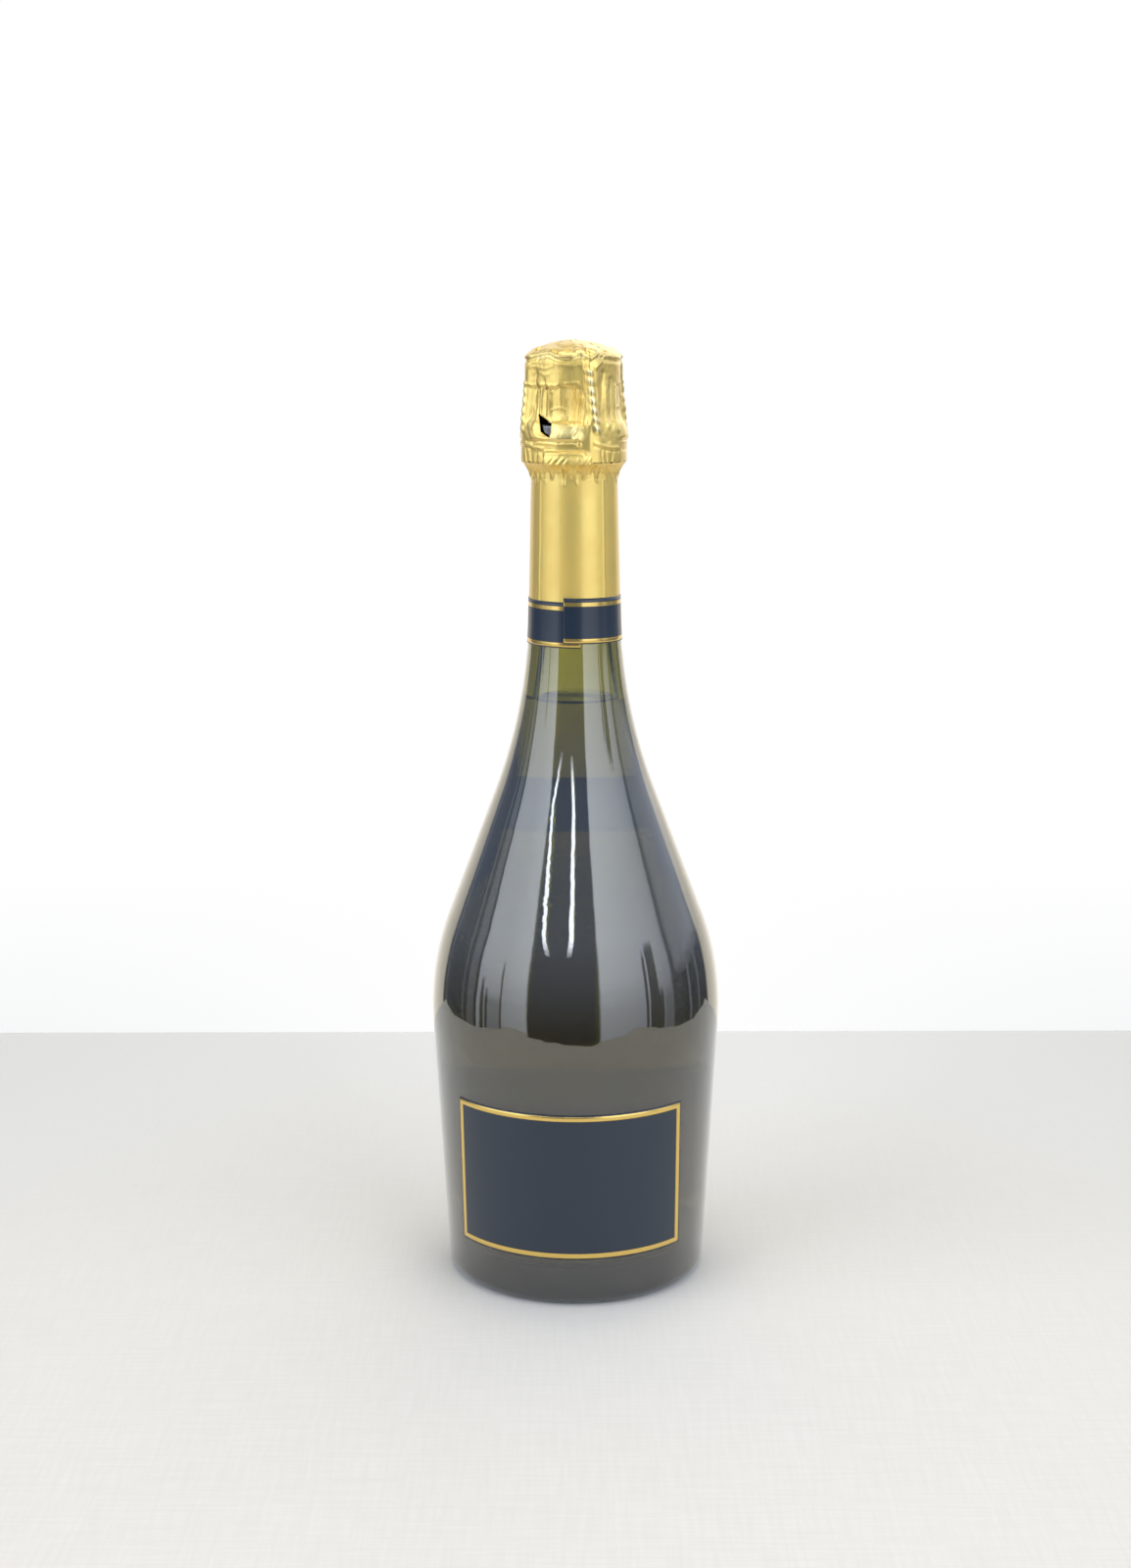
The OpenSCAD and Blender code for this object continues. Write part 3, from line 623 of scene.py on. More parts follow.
def wire(runs: Sequence[Sequence[Vector]], thickness: float) -> bmesh.types.BMesh:
    """Draws round wire along one or more runs.

    Args:
        runs: The middle lines, in metres.
        thickness: Thickness of the wire in millimetres.

    Returns:
        The wire's closed skin.
    """
    curve = bpy.data.curves.new("wire_line", "CURVE")
    curve.dimensions, curve.use_fill_caps = "3D", True
    curve.bevel_depth, curve.bevel_resolution = thickness / 2 * MM, 3
    for run in runs:
        spline = curve.splines.new("POLY")
        spline.points.add(len(run) - 1)
        for point, at in zip(spline.points, run):
            point.co = (*at, 1.0)
    holder = bpy.data.objects.new("wire_line", curve)
    bm = bmesh.new()
    bm.from_mesh(bpy.data.meshes.new_from_object(holder))
    bpy.data.objects.remove(holder)
    merge(bm)
    return bm


def fit(name: str, bm: bmesh.types.BMesh, finish: Finish, body: Body, slot: Slot, node: str,
        sharp: float = 40.0, wall: float = 0.0) -> None:
    """Adds a piece, tied to its body and to the CAD node that it stands for.

    Args:
        name: Name of the piece.
        bm: Its shape, which is used up.
        finish: Its finish.
        body: The body that it moves with.
        slot: The record's material slot; not used.
        node: The CAD node that it replaces.
        sharp: Angle in degrees over which an edge stays sharp.
        wall: Thickness that a sheet gets inwards, in millimetres.
    """
    piece = finished(name, bm, finish, sharp)
    if wall:
        solid = piece.modifiers.new("Wall", "SOLIDIFY")
        solid.thickness, solid.offset = wall * MM, -1.0
    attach(piece, body.value)
    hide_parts(node)
    LOG.info("%s rides on %s, %d faces", name, body.value, len(piece.data.polygons))


# Sizes that the pieces share with the part's source


@dataclass(frozen=True)
class Glass:
    """Sizes and outlines of the glass."""

    height: float = 300.0
    foot_r: float = 44.2
    body_r: float = 49.1
    body_z: float = 91.7
    bowl_arc_r: float = 96.0
    shoulder_slope: float = 20.8
    neck_arc_r: float = 178.0
    neck_r: float = 14.0
    neck_taper: float = 1.3
    heel_round: float = 5.0
    body_wall: float = 4.7
    neck_wall: float = 4.4
    punt_depth: float = 31.0
    punt_r: float = 35.0
    punt_tip_r: float = 13.0
    punt_round: float = 3.0
    floor_t: float = 8.0
    valley_round: float = 4.0
    bore_r: float = 8.75
    bore_z: float = 268.0
    neck_inside_z: float = 260.0
    mouth_round: float = 1.2
    lip_r: float = 14.3
    lip_z: float = 294.0
    lip_round: float = 2.0
    groove_r: float = 13.4
    ring_r: float = 16.0
    ring_top_z: float = 291.0
    ring_z: float = 281.0
    ring_round: float = 1.2
    neck_top_z: float = 278.8
    fill_z: float = 198.6
    seam_half: float = 0.4
    seam_rise: float = 0.1
    grip_depth: float = 0.18
    waviness: float = 0.22
    steps: int = 240

    @cached_property
    def side(self) -> list[Point]:
        """Outer side from the top of the straight foot to the finish."""
        bowl = (self.body_r - self.bowl_arc_r, self.body_z)
        foot = tangent_angle(bowl, self.bowl_arc_r, (self.foot_r, 0.0))
        slope, taper = math.radians(self.shoulder_slope), math.radians(self.neck_taper)
        along = Vector((-math.sin(slope), math.cos(slope)))
        up = Vector((-math.sin(taper), math.cos(taper)))
        shoulder = Vector(bowl) + self.bowl_arc_r * Vector((math.cos(slope), math.sin(slope)))
        met = meet(shoulder, along, Vector((self.neck_r, self.neck_top_z)), up)
        run = self.neck_arc_r * math.tan((slope - taper) / 2)
        start = met - run * along
        centre = start + self.neck_arc_r * Vector((math.cos(slope), math.sin(slope)))
        return [*arc(bowl, self.bowl_arc_r, foot, self.shoulder_slope, 40),
                *arc(tuple(centre), self.neck_arc_r, 180 + self.shoulder_slope, 180 + self.neck_taper, 44),
                (self.neck_r, self.neck_top_z)]

    @cached_property
    def side_table(self) -> tuple[list[float], list[float]]:
        """Heights and radii of the outer side, from the floor up."""
        points = [(self.foot_r, 0.0), *self.side]
        return [z for _, z in points], [r for r, _ in points]

    def side_r(self, z: float) -> float:
        """Gives the outer radius at a height."""
        return read_off(z, *self.side_table)

    def wall_at(self, z: float) -> float:
        """Gives the wall at a height, which eases from the body's to the neck's."""
        shoulder_z = self.body_z + self.bowl_arc_r * math.sin(math.radians(self.shoulder_slope))
        return self.body_wall + (self.neck_wall - self.body_wall) * ease(z, shoulder_z, self.side[-2][1])

    @cached_property
    def outside(self) -> list[Point]:
        """Outline from the tip of the punt out, up over the lip and down to the bore."""
        tip = (0.0, self.punt_depth - self.punt_tip_r)
        angle = tangent_angle(tip, self.punt_tip_r, (self.punt_r, 0.0))
        dome = arc(tip, self.punt_tip_r, 90, angle, 12)
        ring, bead, mouth = self.ring_r - self.ring_round, self.lip_r - self.lip_round, self.mouth_round
        foot, punt = (self.foot_r, 0.0), (self.punt_r, 0.0)
        low, high = (self.groove_r, self.ring_top_z), (self.groove_r, self.lip_z)
        return [(0.0, self.punt_depth), *dome[1:], *corner(dome[-1], punt, foot, self.punt_round),
                *corner(punt, foot, self.side[0], self.heel_round), *self.side,
                *corner(self.side[-1], (ring - 0.6, self.ring_z), (ring, self.ring_z), 0.25, 4),
                *arc((ring, self.ring_z + self.ring_round), self.ring_round, -90, 0, 8),
                *arc((ring, self.ring_top_z - self.ring_round), self.ring_round, 0, 90, 8),
                *corner((ring, self.ring_top_z), low, high, 0.6, 5),
                *corner(low, high, (bead, self.lip_z), 0.4, 5),
                *arc((bead, self.lip_z + self.lip_round), self.lip_round, -90, 0, 10),
                *arc((bead, self.height - self.lip_round), self.lip_round, 0, 90, 10),
                *arc((self.bore_r + mouth, self.height - mouth), mouth, 90, 180, 8)]

    @cached_property
    def inside(self) -> list[Point]:
        """Outline of the inside from the tip of the punt out and up to the bore."""
        tip = (0.0, self.punt_depth - self.punt_tip_r)
        over = self.punt_tip_r + self.floor_t
        angle = tangent_angle(tip, self.punt_tip_r, (self.punt_r, 0.0))
        dome = arc(tip, over, 90, angle, 12)
        side = Vector(self.side[0]) - Vector((self.foot_r, 0.0))
        down = Vector((-math.sin(math.radians(angle)), math.cos(math.radians(angle))))
        valley = meet(Vector((self.foot_r - self.body_wall, 0.0)), side, Vector(dome[-1]), down)
        inner = (self.side[0][0] - self.body_wall, self.side[0][1])
        wall = [(r - self.wall_at(z), z) for r, z in self.side if z < self.neck_inside_z]
        return [(0.0, tip[1] + over), *dome[1:], *corner(dome[-1], tuple(valley), inner, self.valley_round),
                *wall, (self.side_r(self.neck_inside_z) - self.neck_wall, self.neck_inside_z),
                (self.bore_r, self.bore_z)]

    def unevenness(self, azimuth: float, z: float) -> float:
        """Gives how much the blown inside stands off its outline, in millimetres."""
        a = math.radians(azimuth)
        waves = math.sin(2 * a + z / 31) + 0.6 * math.sin(3 * a - z / 19 + 1) + 0.5 * math.sin(a + z / 13 + 2)
        return self.waviness * window(z, 40, 250, 15) * waves

    def mark(self, bm: bmesh.types.BMesh) -> None:
        """Adds the two fine seams of the mould, and the radial grip marks under the standing ring."""
        for side in (-self.seam_half, self.seam_half):
            whole = [*bm.verts, *bm.edges, *bm.faces]
            bmesh.ops.bisect_plane(bm, geom=whole, plane_co=(0, side * MM, 0), plane_no=(0, 1, 0))
        for vert in bm.verts:
            radius, z = polar(vert)
            if abs(vert.co.y) < 0.01 * MM and 9 < z < 216 and radius > self.side_r(z) - 1:
                vert.co.x += math.copysign(self.seam_rise * MM, vert.co.x)
            if z < 0.02 and radius > self.punt_r and round(azimuth_of(vert.co) / 360 * self.steps) % 2:
                vert.co.z += self.grip_depth * MM

    def build(self) -> None:
        """Builds the bottle's glass."""
        bm = spun([*self.outside, *reversed(self.inside)], self.steps, coated=len(self.outside))
        inner = {round(z, 3): r for r, z in self.inside if z > 30}
        for vert in bm.verts:
            radius, z = polar(vert)
            at = inner.get(round(z, 3))
            if at is not None and radius > 1 and abs(at - radius) < 0.01:
                push_out(vert, self.unevenness(azimuth_of(vert.co), z))
        self.mark(bm)
        fit("bottle_glass_body", bm, BottleGlass(), Body.BOTTLE, Slot.GLASS, "glass_bottle", 60)


@dataclass(frozen=True)
class Filling:
    """The wine, which reaches a hair into the glass so that no air lies between them."""

    glass: Glass
    overlap: float = 0.1
    climb: float = 1.7
    climb_length: float = 1.6

    def build(self) -> None:
        """Builds the wine with its surface drawn up at the wall."""
        top = self.glass.fill_z
        wall = [p for p in self.glass.inside if p[1] < top]
        skin = [(0.0, wall[0][1] - self.overlap)]
        for (r0, z0), (r, z), (r1, z1) in zip(wall, wall[1:], wall[2:]):
            along = Vector((r1 - r0, z1 - z0)).normalized()
            skin.append((r + along.y * self.overlap, z - along.x * self.overlap))
        edge = self.glass.side_r(top + self.climb) - self.glass.wall_at(top) + self.overlap
        # The surface rises towards the wall, so its points lie closer there
        offs = [0.2 * i for i in range(12)] + [edge * i / 24 for i in range(25) if edge * i / 24 > 2.3]
        surface = [(edge - off, top + self.climb * math.exp(-off / self.climb_length)) for off in offs]
        bm = spun([*skin, *surface], self.glass.steps)
        for vert in bm.verts:
            radius, z = polar(vert)
            if 35 < z <= top and radius > self.glass.side_r(z) - self.glass.wall_at(z) - 0.5:
                push_out(vert, self.glass.unevenness(azimuth_of(vert.co), z))
        fit("wine_filling", bm, Wine(), Body.BOTTLE, Slot.WINE, "wine", 60)


@dataclass(frozen=True)
class Cork:
    """The mushroom cork: an agglomerated head and stem over two natural discs."""

    glass: Glass
    stem_r: float = 8.7
    seat_z: float = 300.15
    head_r: float = 14.8
    head_h: float = 13.9
    head_round: float = 4.5
    under_round: float = 3.0
    stem_z: float = 275.0
    disc_t: float = 5.5
    bevel: float = 0.8
    ground: float = 0.08
    granule: float = 2.0
    steps: int = 160

    def build(self) -> None:
        """Builds the three pieces of cork."""
        top, disc = self.seat_z + self.head_h, self.stem_z + 2 * self.disc_t
        centre = (self.head_r - self.head_round, top - self.head_round)
        inset = self.head_r * 0.55
        foot, neck, brim = (self.stem_r, disc), (self.stem_r, self.seat_z), (self.head_r, self.seat_z)
        outline = [(0.0, disc), (self.stem_r * 0.6, disc),
                   *corner((0, disc), foot, (self.stem_r, top), 0.15, 3),
                   *[(self.stem_r, disc + i) for i in range(1, 14)],
                   *corner(foot, neck, brim, 0.4, 3),
                   *corner(neck, brim, (self.head_r, top), self.under_round),
                   (self.head_r, self.seat_z + self.under_round + 1.5),
                   *arc(centre, self.head_round, 0, 90, 10),
                   (inset, top), (inset * 0.6, top), (inset * 0.3, top), (0.0, top)]
        bm = spun(outline, self.steps)
        for vert in bm.verts:
            if vert.co.z > (self.seat_z + 0.5) * MM:
                rough = self.ground * (1 + ripple(*(vert.co / (self.granule * MM))))
                vert.co -= Vector((vert.co.x, vert.co.y, 0)).normalized() * rough * MM
        fit("cork_mushroom", bm, Agglomerate(), Body.CORK, Slot.AGGLOMERATE, "cork_body")
        between = disc - self.disc_t
        upper = [(0.0, between), *corner((0, between), (self.stem_r, between), (self.stem_r, disc), 0.15, 3),
                 *corner((self.stem_r, between), (self.stem_r, disc), (0, disc), 0.15, 3), (0.0, disc)]
        inner, outer = (self.stem_r - self.bevel, self.stem_z), (self.stem_r, self.stem_z + self.bevel)
        lower = [(0.0, self.stem_z), *corner((0, self.stem_z), inner, outer, 0.3, 3),
                 *corner(inner, outer, (self.stem_r, disc), 0.3, 3),
                 *corner((self.stem_r, self.stem_z), (self.stem_r, between), (0, between), 0.15, 3),
                 (0.0, between)]
        for name, outline, node in (("cork_disc_above", upper, "cork_disc_upper"),
                                    ("cork_disc_below", lower, "cork_disc_lower")):
            fit(name, spun(outline, self.steps), NaturalCork(), Body.CORK, Slot.NATURAL, node)


@dataclass(frozen=True)
class Cage:
    """The wire cage: plaque, top ring, four twisted legs, belt and key."""

    glass: Glass
    cork: Cork
    leg_wire: float = 0.75
    belt_wire: float = 0.8
    twist_pitch: float = 6.2
    leg_azimuth: float = 20.0
    leg_count: int = 4
    top_ring_r: float = 12.35
    plaque_rise: float = 3.1
    plaque_t: float = 0.35
    plaque_dome_r: float = 10.4
    key_from: float = -32.0
    key_bend: float = 6.0
    key_to: float = 5.0
    key_root_to: float = 15.5
    key_loop_h: float = 4.0
    clear: float = 0.15
    wire_clear: float = 0.04
    hook_angle: float = 110.0

    @property
    def half(self) -> float:
        """Half the width of two twisted wires."""
        return self.leg_wire + self.wire_clear / 2

    @property
    def ring_r(self) -> float:
        """Radius of a leg's middle along the glass ring."""
        return self.glass.ring_r + self.clear + self.half

    @property
    def belt(self) -> Point:
        """Radius and height of the belt."""
        return self.glass.ring_r + self.clear + self.belt_wire / 2, self.glass.ring_z - self.belt_wire / 2

    @property
    def loop(self) -> tuple[float, float, float]:
        """Radius of the key's loop and the heights of its two long sides."""
        low = self.belt[1] + self.half + self.leg_wire
        return self.glass.ring_r + self.clear + self.leg_wire, low, low + self.key_loop_h

    @cached_property
    def leg_line(self) -> list[Point]:
        """Middle line of a leg, from its hook under the belt to the top ring."""
        belt_r, belt_z = self.belt
        hook_r = (self.belt_wire + self.leg_wire) / 2 + 2 * self.wire_clear
        hook = arc((belt_r, belt_z), hook_r, -self.hook_angle, 0, 16)
        cork = self.cork
        turn = (cork.head_r - cork.head_round, cork.seat_z + cork.head_h - cork.head_round)
        turn_r = self.cork.head_round + self.clear + self.half
        end = math.degrees(math.acos((self.top_ring_r + self.leg_wire + self.wire_clear - turn[0]) / turn_r))
        low = (self.ring_r, self.glass.ring_z + 2 * self.glass.ring_round)
        high = (self.ring_r, self.glass.ring_top_z - self.glass.ring_round)
        head = (self.cork.head_r + self.clear + self.half, self.cork.seat_z + self.cork.under_round)

        def sway(a: Point, b: Point) -> list[Point]:
            """Eases the radius from one point to the next over the height between them."""
            dr, dz = b[0] - a[0], b[1] - a[1]
            return [(a[0] + dr * ease(i / 16), a[1] + dz * i / 16) for i in range(1, 17)]

        return [*hook, *sway(hook[-1], low), *sway(low, high), *sway(high, head),
                *arc(turn, turn_r, 0, end, 20)]

    def leg_runs(self, azimuth: float) -> list[list[Vector]]:
        """Winds the two wires of a leg.

        Args:
            azimuth: Where the leg stands.

        Returns:
            The middle lines of its two wires.
        """
        line = [Vector(p) for p in self.leg_line]
        runs = [0.0]
        for a, b in zip(line, line[1:]):
            runs.append(runs[-1] + (b - a).length)
        rs, zs = [p.x for p in line], [p.y for p in line]
        hook_run, whole = runs[16], runs[-1]
        turns = round(2 * (whole - hook_run) / self.twist_pitch) / 2
        off = (self.leg_wire + self.wire_clear) / 2
        sideways = around(1, 0, azimuth + 90)
        wound: list[list[Vector]] = [[], []]
        stops = [hook_run * i / 12 for i in range(12)]
        stops += [hook_run + (whole - hook_run) * i / 130 for i in range(131)]
        for run in stops:
            ahead, behind = min(whole, run + 0.3), max(0.0, run - 0.3)
            dr, dz = (read_off(ahead, runs, t) - read_off(behind, runs, t) for t in (rs, zs))
            long = math.hypot(dr, dz)
            for i, strand in enumerate(wound):
                phase = math.pi * i + math.tau * turns * max(0.0, run - hook_run) / (whole - hook_run)
                out = off * math.sin(phase)
                radius = read_off(run, runs, rs) + out * dz / long
                height = read_off(run, runs, zs) - out * dr / long
                strand.append(around(radius, height, azimuth) + sideways * off * math.cos(phase))
        return wound

    def key_runs(self) -> list[list[Vector]]:
        """Gives the twisted root of the key and its loop."""
        belt_z, off = self.belt[1], (self.leg_wire + self.wire_clear) / 2
        root_from = self.key_from + self.key_bend
        length = self.ring_r * math.radians(self.key_root_to - root_from)
        turns = round(2 * length / self.twist_pitch) / 2
        root = []
        for i in range(2):
            phases = [(k / 80, math.pi * (i + 0.5) + math.tau * turns * k / 80) for k in range(81)]
            root.append([around(self.ring_r + off * math.cos(p), belt_z + off * math.sin(p),
                                root_from + (self.key_root_to - root_from) * share) for share, p in phases])
        loop_r, low, high = self.loop
        third = self.key_bend / 3
        route = [(root_from, belt_z + off), (self.key_from + third, belt_z + off),
                 (self.key_from + third, low),
                 (self.key_to, low), (self.key_to, high), (self.key_from - third, high),
                 (self.key_from - third, belt_z - off), (root_from, belt_z - off)]
        scale = math.radians(1) * self.ring_r
        soft = cut_corners([(a * scale, z) for a, z in self.rounded(route)], 2)
        drop = loop_r - self.ring_r
        return [*root, [around(self.ring_r + drop * ease(z, belt_z + off, low), z, a / scale)
                        for a, z in soft]]

    @staticmethod
    def rounded(route: Sequence[Point], steps: int = 8) -> list[Point]:
        """Rounds every corner of a route from the middle of one side to the middle of the next."""
        line = [Vector(p) for p in route]
        points = [line[0]]
        for i in range(1, len(line) - 1):
            a = line[0] if i == 1 else (line[i - 1] + line[i]) / 2
            c = line[-1] if i == len(line) - 2 else (line[i] + line[i + 1]) / 2
            for k in range(1, steps + 1):
                t = k / steps
                points.append((1 - t) ** 2 * a + 2 * t * (1 - t) * line[i] + t * t * c)
        return [tuple(p) for p in points]

    def build(self) -> None:
        """Builds the cage."""
        top_z = self.cork.seat_z + self.cork.head_h + self.clear
        sphere = (self.plaque_dome_r ** 2 + self.plaque_rise ** 2) / (2 * self.plaque_rise)
        centre = (0.0, top_z + self.plaque_rise - sphere)
        low = math.degrees(math.asin((sphere - self.plaque_rise) / sphere))
        high = math.degrees(math.asin((sphere - self.plaque_rise + self.plaque_t) / (sphere + self.plaque_t)))
        rim = self.top_ring_r - self.leg_wire / 2 - self.wire_clear
        outline = [(rim - 0.1, top_z), *arc(centre, sphere, low, 90, 24),
                   *arc(centre, sphere + self.plaque_t, 90, high, 24),
                   (rim - 0.1, top_z + self.plaque_t), (rim, top_z + self.plaque_t / 2)]
        fit("plaque_dome", spun(outline, 128, closed=True), Tinplate(), Body.CAGE, Slot.TINPLATE, "plaque")
        end = self.leg_line[-1][1]
        ring = arc((self.top_ring_r, end), self.leg_wire / 2, 0, 360, 16)[:-1]
        wires = [("cage_ring_wire", spun(ring, 160, closed=True), "cage_top_ring")]
        for i in range(self.leg_count):
            runs = self.leg_runs(self.leg_azimuth + 360 * i / self.leg_count)
            wires.append((f"cage_leg_wires_{i + 1}", wire(runs, self.leg_wire), f"cage_leg_{i + 1}"))
        belt_r, belt_z = self.belt
        gap = math.degrees(math.asin(self.leg_wire / belt_r))
        start, end = self.key_root_to + gap / 2, 360 + self.key_from - self.key_bend / 3 - gap
        run = [around(belt_r, belt_z, start + (end - start) * i / 180) for i in range(181)]
        wires.append(("cage_belt_wire", wire([run], self.belt_wire), "cage_belt"))
        wires.append(("cage_key_wires", wire(self.key_runs(), self.leg_wire), "belt_key"))
        for name, bm, node in wires:
            fit(name, bm, Wire(), Body.CAGE, Slot.WIRE, node)


@dataclass(frozen=True)
class Crease:
    """A fold line in the foil, through points of azimuth and height; a negative rise is a valley."""

    points: tuple[Point, ...]
    rise: float
    width: float
    mm_per_degree: float = 0.28

    def height_at(self, azimuth: float, z: float) -> float:
        """Gives the height of the fold at a point of the foil, in millimetres."""
        reach = 2.2 * self.width
        side = reach / self.mm_per_degree
        azimuths, heights = zip(*self.points)
        if not min(azimuths) - side < azimuth < max(azimuths) + side:
            return 0.0
        if not min(heights) - reach < z < max(heights) + reach:
            return 0.0
        near = reach
        x = azimuth * self.mm_per_degree
        for (a0, z0), (a1, z1) in zip(self.points, self.points[1:]):
            dx, dz = (a1 - a0) * self.mm_per_degree, z1 - z0
            ox, oz = x - a0 * self.mm_per_degree, z - z0
            along = min(1.0, max(0.0, (ox * dx + oz * dz) / (dx * dx + dz * dz)))
            near = min(near, math.hypot(ox - along * dx, oz - along * dz))
        return self.rise * math.exp(-(near / self.width) ** 2)


@dataclass(frozen=True)
class FoilHood:
    """The foil over cork and cage, pressed down between the legs and up over them."""

    glass: Glass
    cork: Cork
    cage: Cage
    foil_t: float = 0.15
    rim_z: float = 278.65
    rim_r: float = 17.3
    top_z: float = 318.0
    clear: float = 0.25
    columns: int = 410
    rows: int = 112
    bead: float = 3.1
    bead_rise: float = 0.66
    front_half: float = 65.0
    front_finer: float = 1.4
    crown_run: float = 13.0
    wall_rows_share: float = 0.87
    fall_right: float = 11.5
    fall_left: float = 5.8
    # Corners of the small vent in the front, from left to right and in height
    vent: tuple[Point, ...] = ((-11.5, 294.2), (-7.3, 291.3), (-8.0, 286.7), (-10.9, 288.5))
    # Folds of the quarter that faces the viewer; the other quarters repeat them, the left one mirrored
    creases: tuple[Crease, ...] = (
        Crease(((-62, 309.2), (-45, 308.7), (-26, 309.3)), 0.14, 0.35),
        Crease(((-57, 307.3), (-32, 306.9)), 0.1, 0.4),
        Crease(((-20, 310.2), (-4, 309.6), (9, 309.9)), 0.12, 0.5),
        Crease(((-70, 303.6), (-56, 303.3)), 0.16, 0.5),
        Crease(((-47, 303.2), (-38, 303.9), (-29, 302.9), (-20, 303.4)), 0.22, 0.45),
        Crease(((-11, 303.9), (4, 304.3)), 0.14, 0.5),
        Crease(((-63, 303), (-62, 290)), -0.25, 0.5),
        Crease(((-57, 302.4), (-56, 296)), 0.15, 0.5),
        Crease(((-48, 302.7), (-47, 291)), -0.24, 0.4),
        Crease(((-43.5, 302.3), (-44, 294)), 0.18, 0.45),
        Crease(((-38, 302.8), (-37, 290.5)), -0.26, 0.4),
        Crease(((-33, 301.4), (-31, 293)), 0.2, 0.45),
        Crease(((-28, 300.5), (-26, 292)), -0.2, 0.4),
        Crease(((-18, 302.3), (-17, 296)), 0.12, 0.6),
        Crease(((-8.5, 302.8), (-8, 294)), -0.2, 0.4),
        Crease(((-3.5, 302.8), (-5, 290.5)), -0.3, 0.35),
        Crease(((-0.8, 302.6), (-1.5, 291)), 0.24, 0.35),
        Crease(((2.3, 302.6), (1, 289.5)), -0.32, 0.35),
        Crease(((5.4, 302), (4, 290)), 0.24, 0.35),
        Crease(((8.3, 301), (7, 290.5), (1, 287.3)), -0.34, 0.4),
        Crease(((11.6, 299.5), (12, 295), (8, 290)), 0.24, 0.45),
        Crease(((-28, 295.8), (-20, 296.4), (-11, 295.8)), 0.18, 0.35),
        Crease(((15, 294.5), (9, 291.2), (3, 288.3), (0.5, 286.6)), -0.34, 0.5),
        Crease(((-60, 285.5), (-20, 285.7), (4, 285.6)), -0.34, 0.4),
        Crease(((-60, 284.6), (-22, 284.8), (2, 284.6)), 0.16, 0.4),
        Crease(((-54, 281.9), (-25, 282.5), (0, 282.3), (10, 281.8)), -0.28, 0.35),
        Crease(((11.5, 312.3), (14, 308), (14.8, 303), (15.6, 297), (16, 291.5)), -0.42, 0.42))
    # Broad folds of the foil to the right of each leg
    side_creases: tuple[Crease, ...] = (
        Crease(((24.5, 303), (25.4, 297), (25.6, 292.5)), -0.14, 0.6),
        Crease(((25, 309), (31, 310.4), (38, 311.6)), 0.3, 0.5),
        Crease(((20, 285.2), (30, 284.4), (42, 283.5), (54, 283.1)), 0.3, 0.45),
        Crease(((20, 284.2), (32, 283.3), (44, 282.5), (56, 282.2)), -0.24, 0.4),
        Crease(((29, 282.8), (31, 279)), -0.22, 0.35),
        Crease(((36, 282.4), (38, 279)), -0.26, 0.35),
        Crease(((46, 282), (45, 279)), -0.24, 0.4),
        Crease(((53, 281.8), (55, 279)), -0.2, 0.4),
        Crease(((28, 291), (33, 287.6), (40, 285.6)), -0.22, 0.7),
        Crease(((37, 307), (34.5, 301), (31.5, 296), (30.5, 293)), -0.4, 0.9),
        Crease(((43, 302), (41, 290)), 0.26, 0.8),
        Crease(((51, 305), (48, 290)), -0.26, 0.8),
        Crease(((58, 303), (56, 289)), 0.2, 0.7))
    # Azimuth and height of the wavy edge of the crown's fold
    crown: tuple[Point, ...] = (
        (-180, 312), (-165, 313), (-151, 311.7), (-133, 312.8), (-118, 312.2), (-100, 311.6),
        (-73, 311.8), (-60, 312), (-48, 312.8), (-37, 313.2), (-30, 313.1), (-24, 312.3), (-18, 312),
        (-10, 311.8), (-2, 312), (4, 312.9), (10, 313), (19, 311.4), (30, 313), (41, 312.1),
        (54, 311.8), (78, 311.2), (96, 312.4), (110, 311.5), (128, 312.9), (147, 312.1), (163, 312.8),
        (180, 312))

    @cached_property
    def lines(self) -> tuple[list[Point], list[Point]]:
        """Outer outlines from the rim to the middle of the crown: between the legs, and over a leg."""
        g, c, k = self.glass, self.cork, self.cage
        head, top = c.head_r + self.clear + self.foil_t, self.top_z
        cover = k.half + self.clear + self.foil_t
        turn = (c.head_r - c.head_round, c.seat_z + c.head_h - c.head_round)
        edge_z = k.leg_line[-1][1] + k.leg_wire / 2 + self.clear + self.foil_t
        belt_top = k.belt[1] + k.half + self.clear
        rs, zs = zip(*[p for p in k.leg_line if p[1] >= k.belt[1]])
        heights = [g.ring_top_z - 3 * g.ring_round, g.ring_top_z, (g.ring_top_z + g.lip_z) / 2,
                   c.seat_z, c.seat_z + c.under_round, turn[1]]
        radii = [self.rim_r, g.ring_r + k.leg_wire + self.foil_t, (g.ring_r + head) / 2, head + self.foil_t,
                 head, head]
        low = [(self.rim_r, self.rim_z), (self.rim_r, belt_top), *zip(radii, heights)]
        hook = k.belt[0] + k.belt_wire / 2 + k.leg_wire + 2 * k.wire_clear + self.clear + self.foil_t
        high = [(hook, self.rim_z), (hook, belt_top), *[(read_off(z, zs, rs) + cover, z) for z in heights]]
        for i in range(1, 5):
            a = 14.5 * i
            at = Vector((math.cos(math.radians(a)), math.sin(math.radians(a))))
            off = c.head_round + self.clear + self.foil_t + k.leg_wire * i / 4
            low.append(tuple(Vector(turn) + off * at))
            high.append(tuple(Vector(turn) + (c.head_round + k.clear + k.half + cover) * at))
        sphere = (k.top_ring_r ** 2 + (top - edge_z) ** 2) / (2 * (top - edge_z))
        dome = [(r, top - sphere + math.sqrt(sphere ** 2 - r * r)) for r in (9.6, 6.5, 3.3, 0.0)]
        low += [(k.top_ring_r, edge_z), *dome]
        high += [(k.top_ring_r, (edge_z + dome[0][1]) / 2), *dome]
        return cut_corners(low, 3), cut_corners(high, 3)

